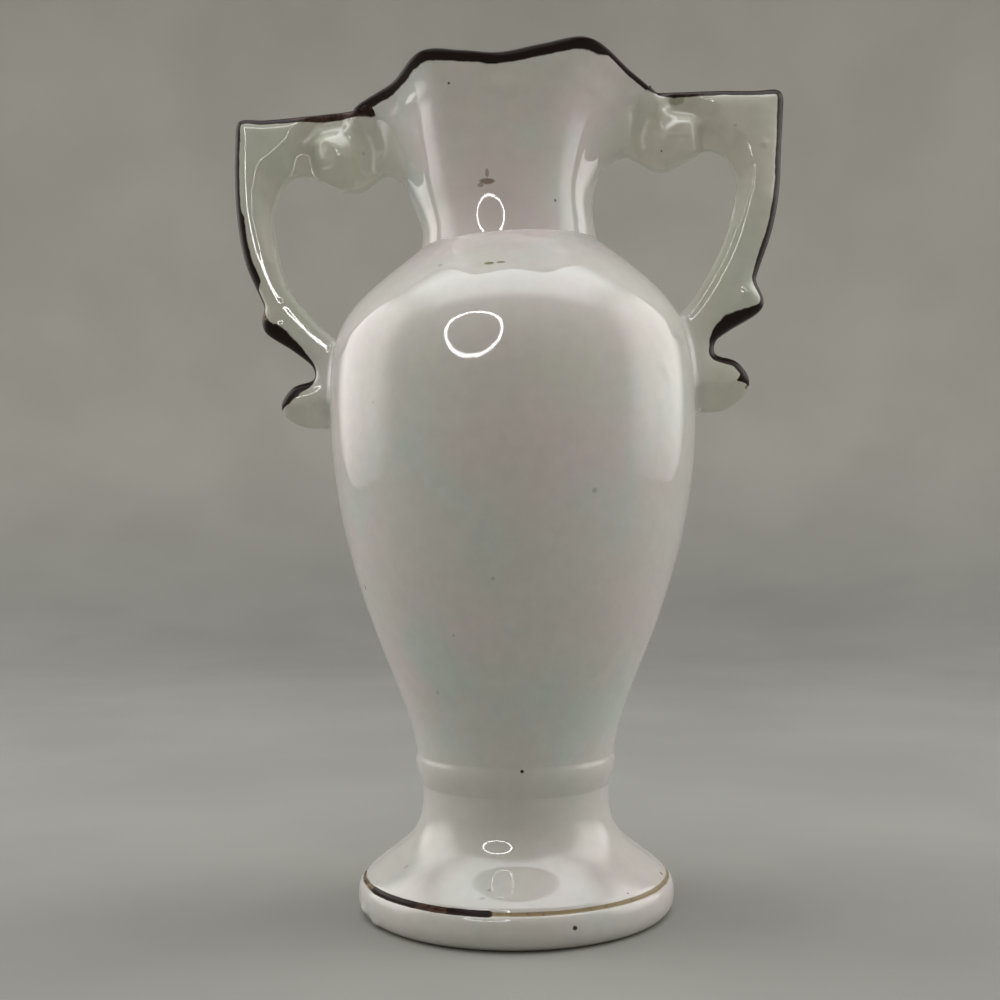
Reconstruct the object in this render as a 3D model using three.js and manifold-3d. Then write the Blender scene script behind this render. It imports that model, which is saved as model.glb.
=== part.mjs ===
// A two-handled bud vase in slip-cast, glazed porcelain, in millimetres with +Z up.
// The origin is the centre of the standing ring, on the surface that the vase stands on.
// Five cast pieces are luted together: foot, body, neck with its lobed mouth, and two scrolled handles.

import * as THREE from 'three';
import * as BufferGeometryUtils from 'three/addons/utils/BufferGeometryUtils.js';
import Module from 'manifold-3d';

const wasm = await Module();
wasm.setup();

// Heights of the stacked pieces
const FOOT_HEIGHT = 24.3;
const BODY_HEIGHT = 78.8;
const NECK_HEIGHT = 22.4;

// Foot
const RIM_RADIUS = 24.6;
const RIM_HEIGHT = 5.2;
const WAIST_RADIUS = 14.5;
const WAIST_LEVEL = 17.3;
const BEAD_RADIUS = 15.5;
const BEAD_HEIGHT = 4.8;
const RING_INNER_RADIUS = 17.4;
const RING_EDGE_ROUNDING = 2.2;
const RIM_GROOVE_DEPTH = 0.25;
const RIM_GROOVE_WIDTH = 0.6;
const RECESS_DEPTH = 1.6;
const RECESS_SLOPE = 0.8;
const FLOOR_THICKNESS = 3.2;
const FLOOR_FILLET = 1.4;

// Body
const BELLY_RADIUS = 28.45;
const BELLY_RISE = 54.7;
const WALL = 2.5;

// Neck and mouth
const NECK_RADIUS = 13.4;
const CREASE_STEP = 0.4;
const MOUTH_REACH_SIDE = 24;
const MOUTH_REACH_FRONT = 16.9;
const LOBE_MIDDLE_RISE = 2.9;
const LIP_CREST = 0.4;
const LIP_THICKNESS = 1.8;
const LIP_FLARE = 0.16;

// The corners of the lobes, pressed by hand: the right ones are further out and stand higher.
// Hollow is the share of the way from the handle to the corner at which the slope is half way up.
const LOBE_CORNERS = {
  right: { side: 1, reach: 13.2, rise: 4.3, hollow: 0.42 },
  left: { side: -1, reach: 11.2, rise: 3.5, hollow: 0.56 },
};

// Handles
const HANDLE_REACH = 43.3;
const HANDLE_HEIGHT = 46.9;
const HANDLE_THICKNESS = 5.6;
const HANDLE_ROUNDING = 0.8;
const CORNER_RADIUS = 1.9;
const EYE_RADIUS = 2.8;
const EYE_RELIEF = 0.7;
const VALLEY_RADIUS = 1.4;
const VALLEY_START_DEGREES = -50;
const VALLEY_END_DEGREES = 125;
const LUTE_GAP = 0.3;

// The handles were finished by hand: the left one sits lower, bows out more and has a slimmer strap.
const HANDLES = [
  {
    name: 'handle_right', side: 1, drop: 0, mouthRise: 0.1, cornerTrim: 0, bow: 0,
    strapTop: 5.85, strapFoot: 6.7, eyeGrow: 0, eyeFoot: 0, tailDrop: 0, tailPull: 0, tailDepth: 2.3,
  },
  {
    name: 'handle_left', side: -1, drop: 1.4, mouthRise: 0.6, cornerTrim: 0.9, bow: 0.6,
    strapTop: 5.3, strapFoot: 4.6, eyeGrow: 1.1, eyeFoot: 2.5, tailDrop: 1.1, tailPull: 0.5, tailDepth: 1.3,
  },
];

// Kiln lean: above this level the ware bends towards the left handle, and then stands straight again
const LEAN_DEGREES = 1.4;
const LEAN_START = 60;
const LEAN_SPAN = 44;

// Smoothness
const TURN_STEPS = 48;
const CURVE_STEPS = 8;

const BODY_TOP = FOOT_HEIGHT + BODY_HEIGHT;
const MOUTH_LEVEL = BODY_TOP + NECK_HEIGHT;
const BELLY_LEVEL = FOOT_HEIGHT + BELLY_RISE;

const porcelain = (name, color) => {
  const material = new THREE.MeshStandardMaterial({ color, roughness: 0.16, metalness: 0 });
  material.name = name;
  return material;
};

const flat = (x, y) => new THREE.Vector2(x, y);

// Points along one cubic curve between two levels of a turned outline.
const curve = (start, startPull, endPull, end, steps = CURVE_STEPS) =>
  new THREE.CubicBezierCurve(start, startPull, endPull, end).getPoints(steps);

// The same outline, moved inwards by the wall.
const inset = (points, wall) => points.map((point) => flat(point.x - wall, point.y));

function mergedPositions(geometry) {
  const bare = geometry.clone();
  bare.deleteAttribute('normal');
  bare.deleteAttribute('uv');
  return BufferGeometryUtils.mergeVertices(bare, 1e-5);
}

// A turned piece: the outline runs up the outside and back down the inside.
function turned(outline) {
  const geometry = new THREE.LatheGeometry(outline, TURN_STEPS);
  geometry.rotateX(Math.PI / 2);
  return mergedPositions(geometry);
}

// A skin over rings of points with equal counts. Open ends are closed by a fan, or the last ring meets the first.
function lofted(rings, joinEnds = false) {
  const count = rings[0].length;
  const positions = rings.flat().flatMap((point) => [point.x, point.y, point.z]);
  const triangles = [];
  const spans = joinEnds ? rings.length : rings.length - 1;
  for (let ring = 0; ring < spans; ring += 1) {
    const lower = ring * count;
    const upper = ((ring + 1) % rings.length) * count;
    for (let i = 0; i < count; i += 1) {
      const next = (i + 1) % count;
      triangles.push(lower + i, lower + next, upper + next);
      triangles.push(lower + i, upper + next, upper + i);
    }
  }
  if (!joinEnds) {
    const last = (rings.length - 1) * count;
    for (const [ring, first, flip] of [[rings[0], 0, true], [rings.at(-1), last, false]]) {
      const centre = ring.reduce((sum, point) => sum.add(point), new THREE.Vector3()).divideScalar(count);
      const hub = positions.length / 3;
      positions.push(centre.x, centre.y, centre.z);
      for (let i = 0; i < count; i += 1) {
        const next = (i + 1) % count;
        triangles.push(...(flip ? [hub, first + next, first + i] : [hub, first + i, first + next]));
      }
    }
  }
  const geometry = new THREE.BufferGeometry();
  geometry.setAttribute('position', new THREE.Float32BufferAttribute(positions, 3));
  geometry.setIndex(triangles);
  return geometry;
}

function solid(geometry) {
  const merged = mergedPositions(geometry);
  return new wasm.Manifold(new wasm.Mesh({
    numProp: 3,
    vertProperties: new Float32Array(merged.attributes.position.array),
    triVerts: new Uint32Array(merged.index.array),
  }));
}

function geometryOf(body) {
  const mesh = body.getMesh();
  const geometry = new THREE.BufferGeometry();
  geometry.setAttribute('position', new THREE.Float32BufferAttribute(mesh.vertProperties, 3));
  geometry.setIndex(Array.from(mesh.triVerts));
  return geometry;
}

// Foot: a hollow pedestal on a flat standing ring, with a rolled rim, a flared cone and a bead at the top

const standingRingOuter = () => RIM_RADIUS - RING_EDGE_ROUNDING;

function rimRoll() {
  const bottom = flat(standingRingOuter(), 0);
  const top = flat(RIM_RADIUS - RING_EDGE_ROUNDING / 2, RIM_HEIGHT);
  const swell = flat(RIM_RADIUS + RING_EDGE_ROUNDING / 4, RIM_HEIGHT * 0.1);
  const turn = flat(RIM_RADIUS + RING_EDGE_ROUNDING / 4, RIM_HEIGHT * 0.95);
  return curve(bottom, swell, turn, top, 8);
}

// The cone leaves the rim almost straight and turns upright at the waist.
function footCone() {
  const start = flat(RIM_RADIUS - RING_EDGE_ROUNDING / 2 - RIM_GROOVE_DEPTH, RIM_HEIGHT + RIM_GROOVE_WIDTH);
  const waist = flat(WAIST_RADIUS, WAIST_LEVEL);
  const startPull = flat(THREE.MathUtils.lerp(start.x, waist.x, 0.48), THREE.MathUtils.lerp(start.y, waist.y, 0.34));
  const waistPull = flat(WAIST_RADIUS, THREE.MathUtils.lerp(start.y, waist.y, 0.43));
  return curve(start, startPull, waistPull, waist, 10);
}

function waistBead() {
  const base = FOOT_HEIGHT - BEAD_HEIGHT;
  return [
    flat(THREE.MathUtils.lerp(WAIST_RADIUS, BEAD_RADIUS, 0.3), base),
    flat(THREE.MathUtils.lerp(WAIST_RADIUS, BEAD_RADIUS, 0.85), base + BEAD_HEIGHT * 0.28),
    flat(BEAD_RADIUS, base + BEAD_HEIGHT * 0.6),
    flat(BEAD_RADIUS, FOOT_HEIGHT),
  ];
}

function foot() {
  const floorTop = RECESS_DEPTH + FLOOR_THICKNESS;
  const cone = footCone();
  const innerWall = inset(cone, WALL).filter((point) => point.y > floorTop + FLOOR_FILLET);
  const outline = [
    flat(0, RECESS_DEPTH),
    flat(RING_INNER_RADIUS - RECESS_SLOPE, RECESS_DEPTH),
    flat(RING_INNER_RADIUS, 0),
    ...rimRoll(),
    ...cone,
    ...waistBead(),
    flat(BEAD_RADIUS - WALL, FOOT_HEIGHT),
    ...innerWall.reverse(),
    flat(innerWall.at(-1).x - FLOOR_FILLET / 2, floorTop),
    flat(0, floorTop),
  ];
  return turned(outline);
}

// Body: a baluster shell, open where it meets the foot and the neck.
// It swells slowly from the bead to the belly and turns in quickly over the shoulder.

function bodySide(grow = 0) {
  const start = flat(BEAD_RADIUS, FOOT_HEIGHT);
  const belly = flat(BELLY_RADIUS, BELLY_LEVEL);
  const crease = flat(NECK_RADIUS + CREASE_STEP, BODY_TOP);
  const shoulderRise = BODY_TOP - BELLY_LEVEL;
  const swell = curve(
    start,
    flat(THREE.MathUtils.lerp(start.x, belly.x, 0.245), FOOT_HEIGHT + BELLY_RISE * 0.22),
    flat(belly.x, FOOT_HEIGHT + BELLY_RISE * 0.6),
    belly,
  );
  const shoulder = curve(
    belly,
    flat(belly.x, BELLY_LEVEL + shoulderRise * 0.56),
    flat(THREE.MathUtils.lerp(crease.x, belly.x, 0.74), BELLY_LEVEL + shoulderRise * 0.64),
    crease,
  );
  return [...swell, ...shoulder.slice(1)].map((point) => flat(point.x + grow, point.y));
}

function body() {
  const outside = bodySide();
  const inside = inset(outside, WALL).reverse();
  return turned([...outside, ...inside, outside[0]]);
}

// Mouth: two broad lobes, front and back, that fall to a point at each handle.
// Each side of a lobe is set out from the handle point to the middle of the lobe.

function lobeSide({ side, reach, rise, hollow }) {
  const depth = MOUTH_REACH_FRONT;
  const point = (x, y, lift) => new THREE.Vector3(side * x, y, MOUTH_LEVEL + lift);
  return [
    point(MOUTH_REACH_SIDE, 0, 0),
    point(THREE.MathUtils.lerp(MOUTH_REACH_SIDE, reach, hollow), depth * 0.5, rise * 0.45),
    point(reach, depth * 0.99, rise),
    point(reach * 0.5, depth, (rise + LOBE_MIDDLE_RISE) / 2),
    point(0, depth * 0.96, LOBE_MIDDLE_RISE),
  ];
}

function mouthEdge() {
  const right = lobeSide(LOBE_CORNERS.right);
  const left = lobeSide(LOBE_CORNERS.left).reverse();
  const mirrored = (point) => new THREE.Vector3(point.x, -point.y, point.z);
  const lobe = [...right, ...left.slice(1)];
  const controls = [...lobe, ...lobe.slice(1, -1).reverse().map(mirrored)];
  return new THREE.CatmullRomCurve3(controls, true, 'centripetal').getPoints(TURN_STEPS).slice(0, TURN_STEPS);
}

// How far the outline has flared from the neck to the mouth, at a share of the neck's height.
function flare(share) {
  const lip = THREE.MathUtils.smoothstep(share, 0.82, 1);
  return (1 - LIP_FLARE) * share ** 1.85 + LIP_FLARE * lip;
}

// One ring of the neck's outside, from the crease at 0 to the edge of the mouth at 1.
function neckRing(share, wall = 0, lift = 0) {
  const crease = CREASE_STEP * Math.max(0, 1 - share / 0.12) ** 2;
  return mouthEdge().map((edge) => {
    const reach = Math.hypot(edge.x, edge.y);
    const radius = THREE.MathUtils.lerp(NECK_RADIUS, reach, flare(share)) + crease - wall;
    const level = THREE.MathUtils.lerp(BODY_TOP, edge.z, share) + lift;
    return new THREE.Vector3(radius * edge.x / reach, radius * edge.y / reach, level);
  });
}

const NECK_SHARES = [0, 0.05, 0.12, 0.24, 0.38, 0.52, 0.66, 0.78, 0.87, 0.94, 1];

function neck() {
  const wallAt = (share) => THREE.MathUtils.lerp(WALL, LIP_THICKNESS, share);
  const outside = NECK_SHARES.map((share) => neckRing(share));
  const crest = neckRing(1, LIP_THICKNESS * 0.45, LIP_CREST);
  const inside = NECK_SHARES.slice(1).reverse().map((share) => neckRing(share, wallAt(share)));
  const luted = neckRing(0, WALL);
  return lofted([...outside, crest, ...inside, luted], true);
}

// What the handles are cut by: the outside of body and neck, filled, and a little larger than they are

function vesselCutter() {
  const above = LOBE_MIDDLE_RISE * 2;
  const outside = bodySide(LUTE_GAP);
  const bodyFill = solid(turned([flat(0, outside[0].y), ...outside, flat(0, BODY_TOP)]));
  const rings = NECK_SHARES.map((share) => neckRing(share, -LUTE_GAP));
  const neckFill = solid(lofted([neckRing(0, -LUTE_GAP, -WALL / 2), ...rings, neckRing(1, -LUTE_GAP, above)]));
  return bodyFill.add(neckFill);
}

// Handle: a flat-sided scroll bracket with a ledge level with the mouth, a strap, a cusp and a curled tail.
// Its outline is set out in shares: down from the ledge to the tail, and across from its outermost point,
// to the belly for the strap and tail, or to the neck for the underside of the ledge.

function handleOutline(spec) {
  const { side, mouthRise, bow, eyeGrow, eyeFoot, tailPull, tailDepth } = spec;
  const top = ledgeLevel(spec);
  const tail = top - HANDLE_HEIGHT - spec.tailDrop;
  const corner = HANDLE_REACH - spec.cornerTrim;
  const room = HANDLE_REACH - BELLY_RADIUS;
  const at = (x, z) => flat(side * x, z);
  const outer = (across, down, bowShare) => (
    at(HANDLE_REACH - across * room + bow * bowShare, top - down * HANDLE_HEIGHT)
  );
  const curl = (across, down) => at(HANDLE_REACH - across * room - tailPull, tail + (1 - down) * HANDLE_HEIGHT);
  const ledge = (across, down, growShare) => {
    const point = ledgePoint(spec, across, down);
    return flat(point.x + side * eyeGrow * growShare, point.y);
  };
  const strap = [outer(0.04, 0.192, 0.1), outer(0.074, 0.335, 0.6), outer(0.162, 0.473, 1), outer(0.317, 0.601, 1)];
  const cusp = [
    outer(0.343, 0.635, 0.8), outer(0.29, 0.674, 0.2), outer(0.269, 0.704, -0.6), outer(0.33, 0.733, -0.6),
    outer(0.593, 0.778, 0.6),
  ];

  // The strap's inner side follows its outer side at the strap's width.
  const strapInside = (i, share) => {
    const along = (strap[i + 1] ?? cusp[0]).clone().sub(strap[i - 1]).normalize();
    const width = THREE.MathUtils.lerp(spec.strapTop, spec.strapFoot, share);
    return flat(strap[i].x + side * width * along.y, strap[i].y - side * width * along.x);
  };

  const outline = new THREE.Shape();
  outline.moveTo(side * NECK_RADIUS * 0.5, top + mouthRise);
  outline.lineTo(side * MOUTH_REACH_SIDE, top + mouthRise);
  outline.splineThru([
    at(THREE.MathUtils.lerp(MOUTH_REACH_SIDE, corner, 0.5), top), at(corner - 3 * CORNER_RADIUS, top - 0.2),
    at(corner - CORNER_RADIUS, top), at(corner - CORNER_RADIUS * 0.27, top - CORNER_RADIUS * 0.27),
    at(corner, top - CORNER_RADIUS),
  ]);
  outline.splineThru([...strap, ...cusp]);
  outline.splineThru([
    curl(0.751, 0.81), curl(0.798, 0.84), curl(0.771, 0.866), curl(0.569, 0.887), curl(0.441, 0.942),
    curl(0.475, 0.989), at(BELLY_RADIUS + 5 - tailPull, tail - tailDepth * 0.8),
    at(BELLY_RADIUS + 2.4 - tailPull, tail - tailDepth),
  ]);
  outline.lineTo(side * (BELLY_RADIUS - WALL), tail - tailDepth);
  outline.lineTo(side * (BELLY_RADIUS - WALL - 3), tail + 0.19 * HANDLE_HEIGHT);
  outline.splineThru([
    at(HANDLE_REACH - 1.199 * room + eyeFoot, top - 0.742 * HANDLE_HEIGHT),
    at(HANDLE_REACH - 1.017 * room + eyeFoot, top - 0.687 * HANDLE_HEIGHT),
    strapInside(3, 1), strapInside(2, 0.4), strapInside(1, 0),
    ledge(0.254, 0.258, 1), ledge(0.301, 0.2, 1), ledge(0.385, 0.177, 0.9), ledge(0.468, 0.209, 0.4),
    ledge(0.575, 0.243, 0.2), ledge(0.629, 0.25, 0.2), ledge(0.682, 0.241, 0.1), ledge(0.766, 0.207, 0.1),
    ledge(0.816, 0.194, 0.1), ledge(0.906, 0.22, 0.1), at(NECK_RADIUS * 0.6, top - 0.3 * HANDLE_HEIGHT),
  ]);
  outline.closePath();
  return outline;
}

const ledgeLevel = ({ drop }) => MOUTH_LEVEL + LIP_CREST - drop;

// A point of the ledge, at shares of the way in to the neck and of the way down to the tail.
function ledgePoint(spec, across, down) {
  const span = HANDLE_REACH - NECK_RADIUS;
  return flat(spec.side * (HANDLE_REACH - across * span), ledgeLevel(spec) - down * HANDLE_HEIGHT);
}

function handlePlate(handle) {
  const geometry = new THREE.ExtrudeGeometry(handleOutline(handle), {
    depth: HANDLE_THICKNESS - 2 * HANDLE_ROUNDING,
    bevelEnabled: true,
    bevelThickness: HANDLE_ROUNDING,
    bevelSize: HANDLE_ROUNDING,
    bevelOffset: -HANDLE_ROUNDING,
    bevelSegments: 2,
    curveSegments: 3,
  });
  geometry.rotateX(Math.PI / 2);
  geometry.translate(0, HANDLE_THICKNESS / 2 - HANDLE_ROUNDING, 0);
  return geometry;
}

function scrollCentre(spec) {
  const centre = ledgePoint(spec, 0.532, 0.141);
  return new THREE.Vector3(centre.x, 0, centre.y);
}

// The eye of the scroll: a ball that stands out of both faces of the bracket.
function scrollEye(spec) {
  const eye = new THREE.SphereGeometry(EYE_RADIUS, 16, 10);
  eye.scale(1, (HANDLE_THICKNESS / 2 + EYE_RELIEF) / EYE_RADIUS, 1);
  const centre = scrollCentre(spec);
  eye.translate(centre.x, centre.y, centre.z);
  return eye;
}

// The valley that curls round the eye on each face: deep at its outer side, run out above it.
function scrollValley(spec, face) {
  const { side } = spec;
  const steps = 12;
  const sides = 8;
  const centre = scrollCentre(spec);
  const reach = EYE_RADIUS + VALLEY_RADIUS * 0.8;
  const rings = [];
  for (let step = 0; step <= steps; step += 1) {
    const share = step / steps;
    const angle = THREE.MathUtils.degToRad(THREE.MathUtils.lerp(VALLEY_START_DEGREES, VALLEY_END_DEGREES, share));
    const radius = VALLEY_RADIUS * (1 - 0.75 * share ** 2);
    const outward = new THREE.Vector3(side * Math.cos(angle), 0, Math.sin(angle));
    const middle = centre.clone().addScaledVector(outward, reach);
    middle.y = face * (HANDLE_THICKNESS / 2 + VALLEY_RADIUS * 0.2);
    rings.push(Array.from({ length: sides }, (_, i) => {
      const turn = side * (2 * Math.PI * i) / sides;
      return middle.clone()
        .addScaledVector(outward, radius * Math.cos(turn))
        .add(new THREE.Vector3(0, radius * Math.sin(turn), 0));
    }));
  }
  return lofted(rings);
}

function handle(spec, cutter) {
  let bracket = solid(handlePlate(spec));
  for (const face of [-1, 1]) {
    bracket = bracket.subtract(solid(scrollValley(spec, face)));
  }
  return geometryOf(bracket.add(solid(scrollEye(spec))).subtract(cutter));
}

// The lean is put in last, so that every joint is laid out on the straight vase.
function leaned(geometry) {
  const fullLean = THREE.MathUtils.degToRad(LEAN_DEGREES);
  const position = geometry.attributes.position;
  for (let i = 0; i < position.count; i += 1) {
    const x = position.getX(i);
    const height = Math.max(0, position.getZ(i) - LEAN_START);
    const bent = Math.min(height, LEAN_SPAN);
    const angle = fullLean * bent / LEAN_SPAN;
    const axisShift = -fullLean * (bent * bent / (2 * LEAN_SPAN) + (height - bent));
    position.setX(i, axisShift + x * Math.cos(angle));
    position.setZ(i, position.getZ(i) + x * Math.sin(angle));
  }
  return geometry;
}

const vase = new THREE.Group();

function place(name, geometry, color) {
  const mesh = new THREE.Mesh(leaned(geometry), porcelain(name, color));
  mesh.name = name;
  vase.add(mesh);
}

const WHITE_GLAZE = 0xd9dad6;
const CREAM_GLAZE = 0xcfd1c5;

place('foot', foot(), WHITE_GLAZE);
place('body', body(), WHITE_GLAZE);
place('neck_with_mouth', neck(), WHITE_GLAZE);
const cutter = vesselCutter();
for (const spec of HANDLES) {
  place(spec.name, handle(spec, cutter), CREAM_GLAZE);
}

export default vase;
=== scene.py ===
"""The finished surfaces of a small two-handled bud vase in glazed porcelain, built round its solid model."""

import math

import bpy
from bpy.props import FloatProperty, FloatVectorProperty, IntProperty, PointerProperty
from bpy.types import NodeSocket, Operator, Panel, PropertyGroup
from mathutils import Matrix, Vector, kdtree
from mathutils.bvhtree import BVHTree
from mathutils.geometry import interpolate_bezier


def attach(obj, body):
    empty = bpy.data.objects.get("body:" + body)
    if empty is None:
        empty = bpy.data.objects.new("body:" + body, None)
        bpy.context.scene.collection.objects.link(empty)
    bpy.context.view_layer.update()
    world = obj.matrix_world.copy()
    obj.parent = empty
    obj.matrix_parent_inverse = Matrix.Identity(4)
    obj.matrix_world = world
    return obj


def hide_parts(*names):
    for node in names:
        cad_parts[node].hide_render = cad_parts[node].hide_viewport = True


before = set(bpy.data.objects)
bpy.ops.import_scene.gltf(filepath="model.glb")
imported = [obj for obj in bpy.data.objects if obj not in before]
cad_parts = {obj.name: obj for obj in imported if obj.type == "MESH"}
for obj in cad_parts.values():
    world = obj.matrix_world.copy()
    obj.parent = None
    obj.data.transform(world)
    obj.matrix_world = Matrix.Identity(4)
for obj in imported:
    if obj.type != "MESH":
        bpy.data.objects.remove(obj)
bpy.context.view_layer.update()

bl_info = {
    "name": "Two-handled bud vase",
    "version": (1, 0, 0),
    "blender": (4, 5, 0),
    "location": "View3D > Sidebar > Bud vase",
    "description": "Throws, presses and glazes a small porcelain vase with scrolled handles",
    "category": "Add Mesh",
}

MM = 0.001


def length(name, description, millimetres):
    """A size in metres, written in millimetres."""
    return FloatProperty(
        name=name, description=description, default=millimetres * MM, min=0.0, precision=5, unit="LENGTH"
    )


def share(name, description, default):
    """A proportion of another size."""
    return FloatProperty(name=name, description=description, default=default, subtype="FACTOR")


def colour(name, description, default):
    """A glaze or paint colour, in linear light."""
    return FloatVectorProperty(
        name=name, description=description, default=default, size=3, min=0.0, max=1.0, subtype="COLOR"
    )


class VASE_PG_vessel(PropertyGroup):
    """Sizes of the foot, the body and the neck."""

    foot_height: length("Foot height", "From the floor to the top of the bead", 24.3)
    body_height: length("Body height", "From the bead to the crease under the neck", 78.8)
    neck_height: length("Neck height", "From the crease to the points of the mouth", 22.4)
    wall: length("Wall", "Thickness of the cast wall", 2.5)
    rim_radius: length("Rim radius", "Widest radius of the rolled rim", 24.6)
    rim_height: length("Rim height", "Height of the rolled rim", 5.2)
    waist_radius: length("Waist radius", "Narrowest radius of the foot", 14.5)
    waist_level: length("Waist level", "Height of the narrowest place", 17.3)
    bead_radius: length("Bead radius", "Radius of the bead under the body", 15.5)
    bead_height: length("Bead height", "Height of the bead", 4.8)
    bead_swell: length("Bead swell", "How far the front of the bead stands out", 0.05)
    bead_tuck: length("Bead tuck", "How far the joint above the bead is drawn in", 0.12)
    ring_radius: length("Ring radius", "Inner radius of the standing ring", 17.4)
    ring_rounding: length("Ring rounding", "How far the roll turns under", 2.2)
    recess: length("Recess", "Depth of the hollow inside the standing ring", 1.6)
    floor_thickness: length("Floor thickness", "Thickness of the floor of the foot", 3.2)
    belly_radius: length("Belly radius", "Widest radius of the body", 28.45)
    belly_rise: length("Belly rise", "From the bead to the widest place", 54.7)
    neck_radius: length("Neck radius", "Radius of the neck before it flares", 13.0)
    crease_step: length("Crease step", "How much wider the crease is than the neck", 0.9)
    mouth_side: length("Mouth to the side", "Reach of the mouth towards each handle", 24.0)
    mouth_front: length("Mouth to the front", "Reach of each lobe to the front and back", 16.9)
    lobe_rise: length("Lobe rise", "How far the middle of a lobe stands above its ends", 2.9)
    lip_thickness: length("Lip thickness", "Thickness of the lip", 1.8)
    lip_crest: length("Lip crest", "How far the lip is rounded over", 0.4)
    lip_ridge: length("Lip ridge", "Height of the soft ridge under the lip", 0.24)
    neck_bow: length("Neck bow", "How far the neck bows towards the left handle", 0.85)


class VASE_PG_handles(PropertyGroup):
    """Sizes of both handles."""

    reach: length("Reach", "From the axis to the outermost point", 43.3)
    height: length("Height", "From the ledge to the tail", 46.9)
    thickness: length("Thickness", "From face to face", 5.6)
    corner: length("Corner", "Radius of the upper corner", 1.5)
    fillet: length("Fillet", "Radius of the glaze where a handle meets the body", 1.1)
    neck_fillet: length("Neck fillet", "Radius of the clay where a handle meets the neck", 2.4)
    luting: length("Luting", "How deep a handle sits in the wall of the vessel", 1.0)
    grain: length("Grain", "Size of the facets that the soft forms are worked in", 0.26)


class VASE_PG_glaze(PropertyGroup):
    """Colours of the glaze and the paint."""

    white: colour("White glaze", "Glaze of the foot, the body and the neck", (0.70, 0.69, 0.65))
    cream: colour("Cream glaze", "Glaze of the handles", (0.63, 0.64, 0.55))
    pink: colour("Pink bloom", "Warm clouds in the glaze", (0.76, 0.66, 0.67))
    green: colour("Green bloom", "Cool clouds in the glaze", (0.62, 0.72, 0.68))
    lustre: colour("Brown lustre", "Painted line where it is thick", (0.020, 0.011, 0.009))
    brown: colour("Thin lustre", "Painted line where it is thinner", (0.085, 0.045, 0.030))
    worn: colour("Worn lustre", "Painted line where it is rubbed to a tan stain", (0.36, 0.29, 0.18))
    bisque: colour("Bare clay", "The standing ring, where no glaze lies", (0.62, 0.58, 0.50))
    gloss: share("Glaze roughness", "Roughness of the glaze", 0.03)


class VASE_PG_stage(PropertyGroup):
    """The camera, the lamps and the floor."""

    camera_distance: length("Camera distance", "From the axis of the vase to the camera", 219.57)
    camera_height: length("Camera height", "Height of the camera above the floor", 62.7)
    camera_turn: FloatProperty(
        name="Camera turn", description="How far the camera stands to the right", default=math.radians(2.5),
        subtype="ANGLE",
    )
    camera_roll: FloatProperty(
        name="Camera roll", description="Tilt of the picture", default=math.radians(0.35), subtype="ANGLE"
    )
    lens: FloatProperty(name="Lens", description="Focal length", default=50.4, unit="CAMERA")
    floor: colour("Floor", "Colour of the floor", (0.34, 0.34, 0.32))
    wall: colour("Wall", "Colour of the wall that the floor rises to", (0.44, 0.43, 0.39))
    steps: IntProperty(name="Steps round", description="Facets round a turned piece", default=192, min=24)


BLACK = (0.02, 0.02, 0.018)
BROWN = (0.16, 0.09, 0.04)
GREY = (0.33, 0.34, 0.33)
OLIVE = (0.17, 0.18, 0.07)

# Specks and stains on the front: across and up in millimetres, the radius in millimetres, the width
# and the height as shares of it, the strength and the colour
FOOT_SPOTS = (
    (1.6, 23.85, 0.28, 1, 1, 1.0, BLACK), (9.2, 3.3, 0.36, 1, 1, 1.0, BLACK),
    (16.9, 6.15, 0.16, 1.4, 1, 0.8, BLACK), (-3.9, 7.0, 0.22, 2.2, 1, 0.6, GREY),
    (-3.0, 7.9, 0.2, 1.6, 2, 0.6, GREY), (-15.9, 8.8, 0.35, 1.5, 1, 0.5, GREY),
    (22.4, 6.2, 0.3, 1, 1, 0.9, BLACK),
)
BODY_SPOTS = (
    (12.3, 64.7, 0.45, 1, 1, 0.5, GREY), (-10.7, 35.3, 0.3, 1, 1, 0.4, GREY),
    (-1.9, 52.5, 0.3, 1, 1, 0.4, GREY), (-22.0, 50.5, 0.18, 1, 7, 0.8, BLACK),
    (-2.4, 97.0, 0.5, 1.6, 0.6, 0.8, OLIVE), (-0.7, 97.15, 0.4, 1.7, 0.5, 0.8, OLIVE),
    (-9.6, 97.3, 0.4, 1, 0.7, 0.5, GREY),
)
NECK_SPOTS = (
    (-3.1, 110.5, 0.9, 1.4, 0.5, 0.75, BROWN), (-3.1, 111.7, 0.4, 0.8, 1.6, 0.6, OLIVE),
    (-4.1, 110.0, 0.4, 1.4, 0.8, 0.6, OLIVE), (6.9, 108.0, 0.22, 1, 1, 0.7, BLACK),
    (-8.5, 124.45, 0.2, 1, 1, 0.8, BLACK),
)

# The line round the foot, from the left handle round by the front: degrees and half width in
# millimetres, then degrees and how worn it is
FOOT_LINE = ((0, 0.27), (27, 0.3), (30, 0.4), (83, 0.4), (83.6, 0.25), (360, 0.27))
FOOT_RUBBED = (
    (0, 0.75), (26, 0.75), (29, 0.15), (53, 0.15), (56, 0.6), (67, 0.6), (69.5, 0.15), (83, 0.15),
    (83.6, 0.9), (360, 0.9),
)

# The corners of the lobes were pressed by hand: the right ones are further out and stand higher.
# Hollow is the share of the way from the handle to the corner at which the slope is half way up.
LOBE_CORNERS = (
    {"side": 1, "reach": 13.2 * MM, "rise": 4.3 * MM, "hollow": 0.42},
    {"side": -1, "reach": 11.2 * MM, "rise": 3.5 * MM, "hollow": 0.56},
)

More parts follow.
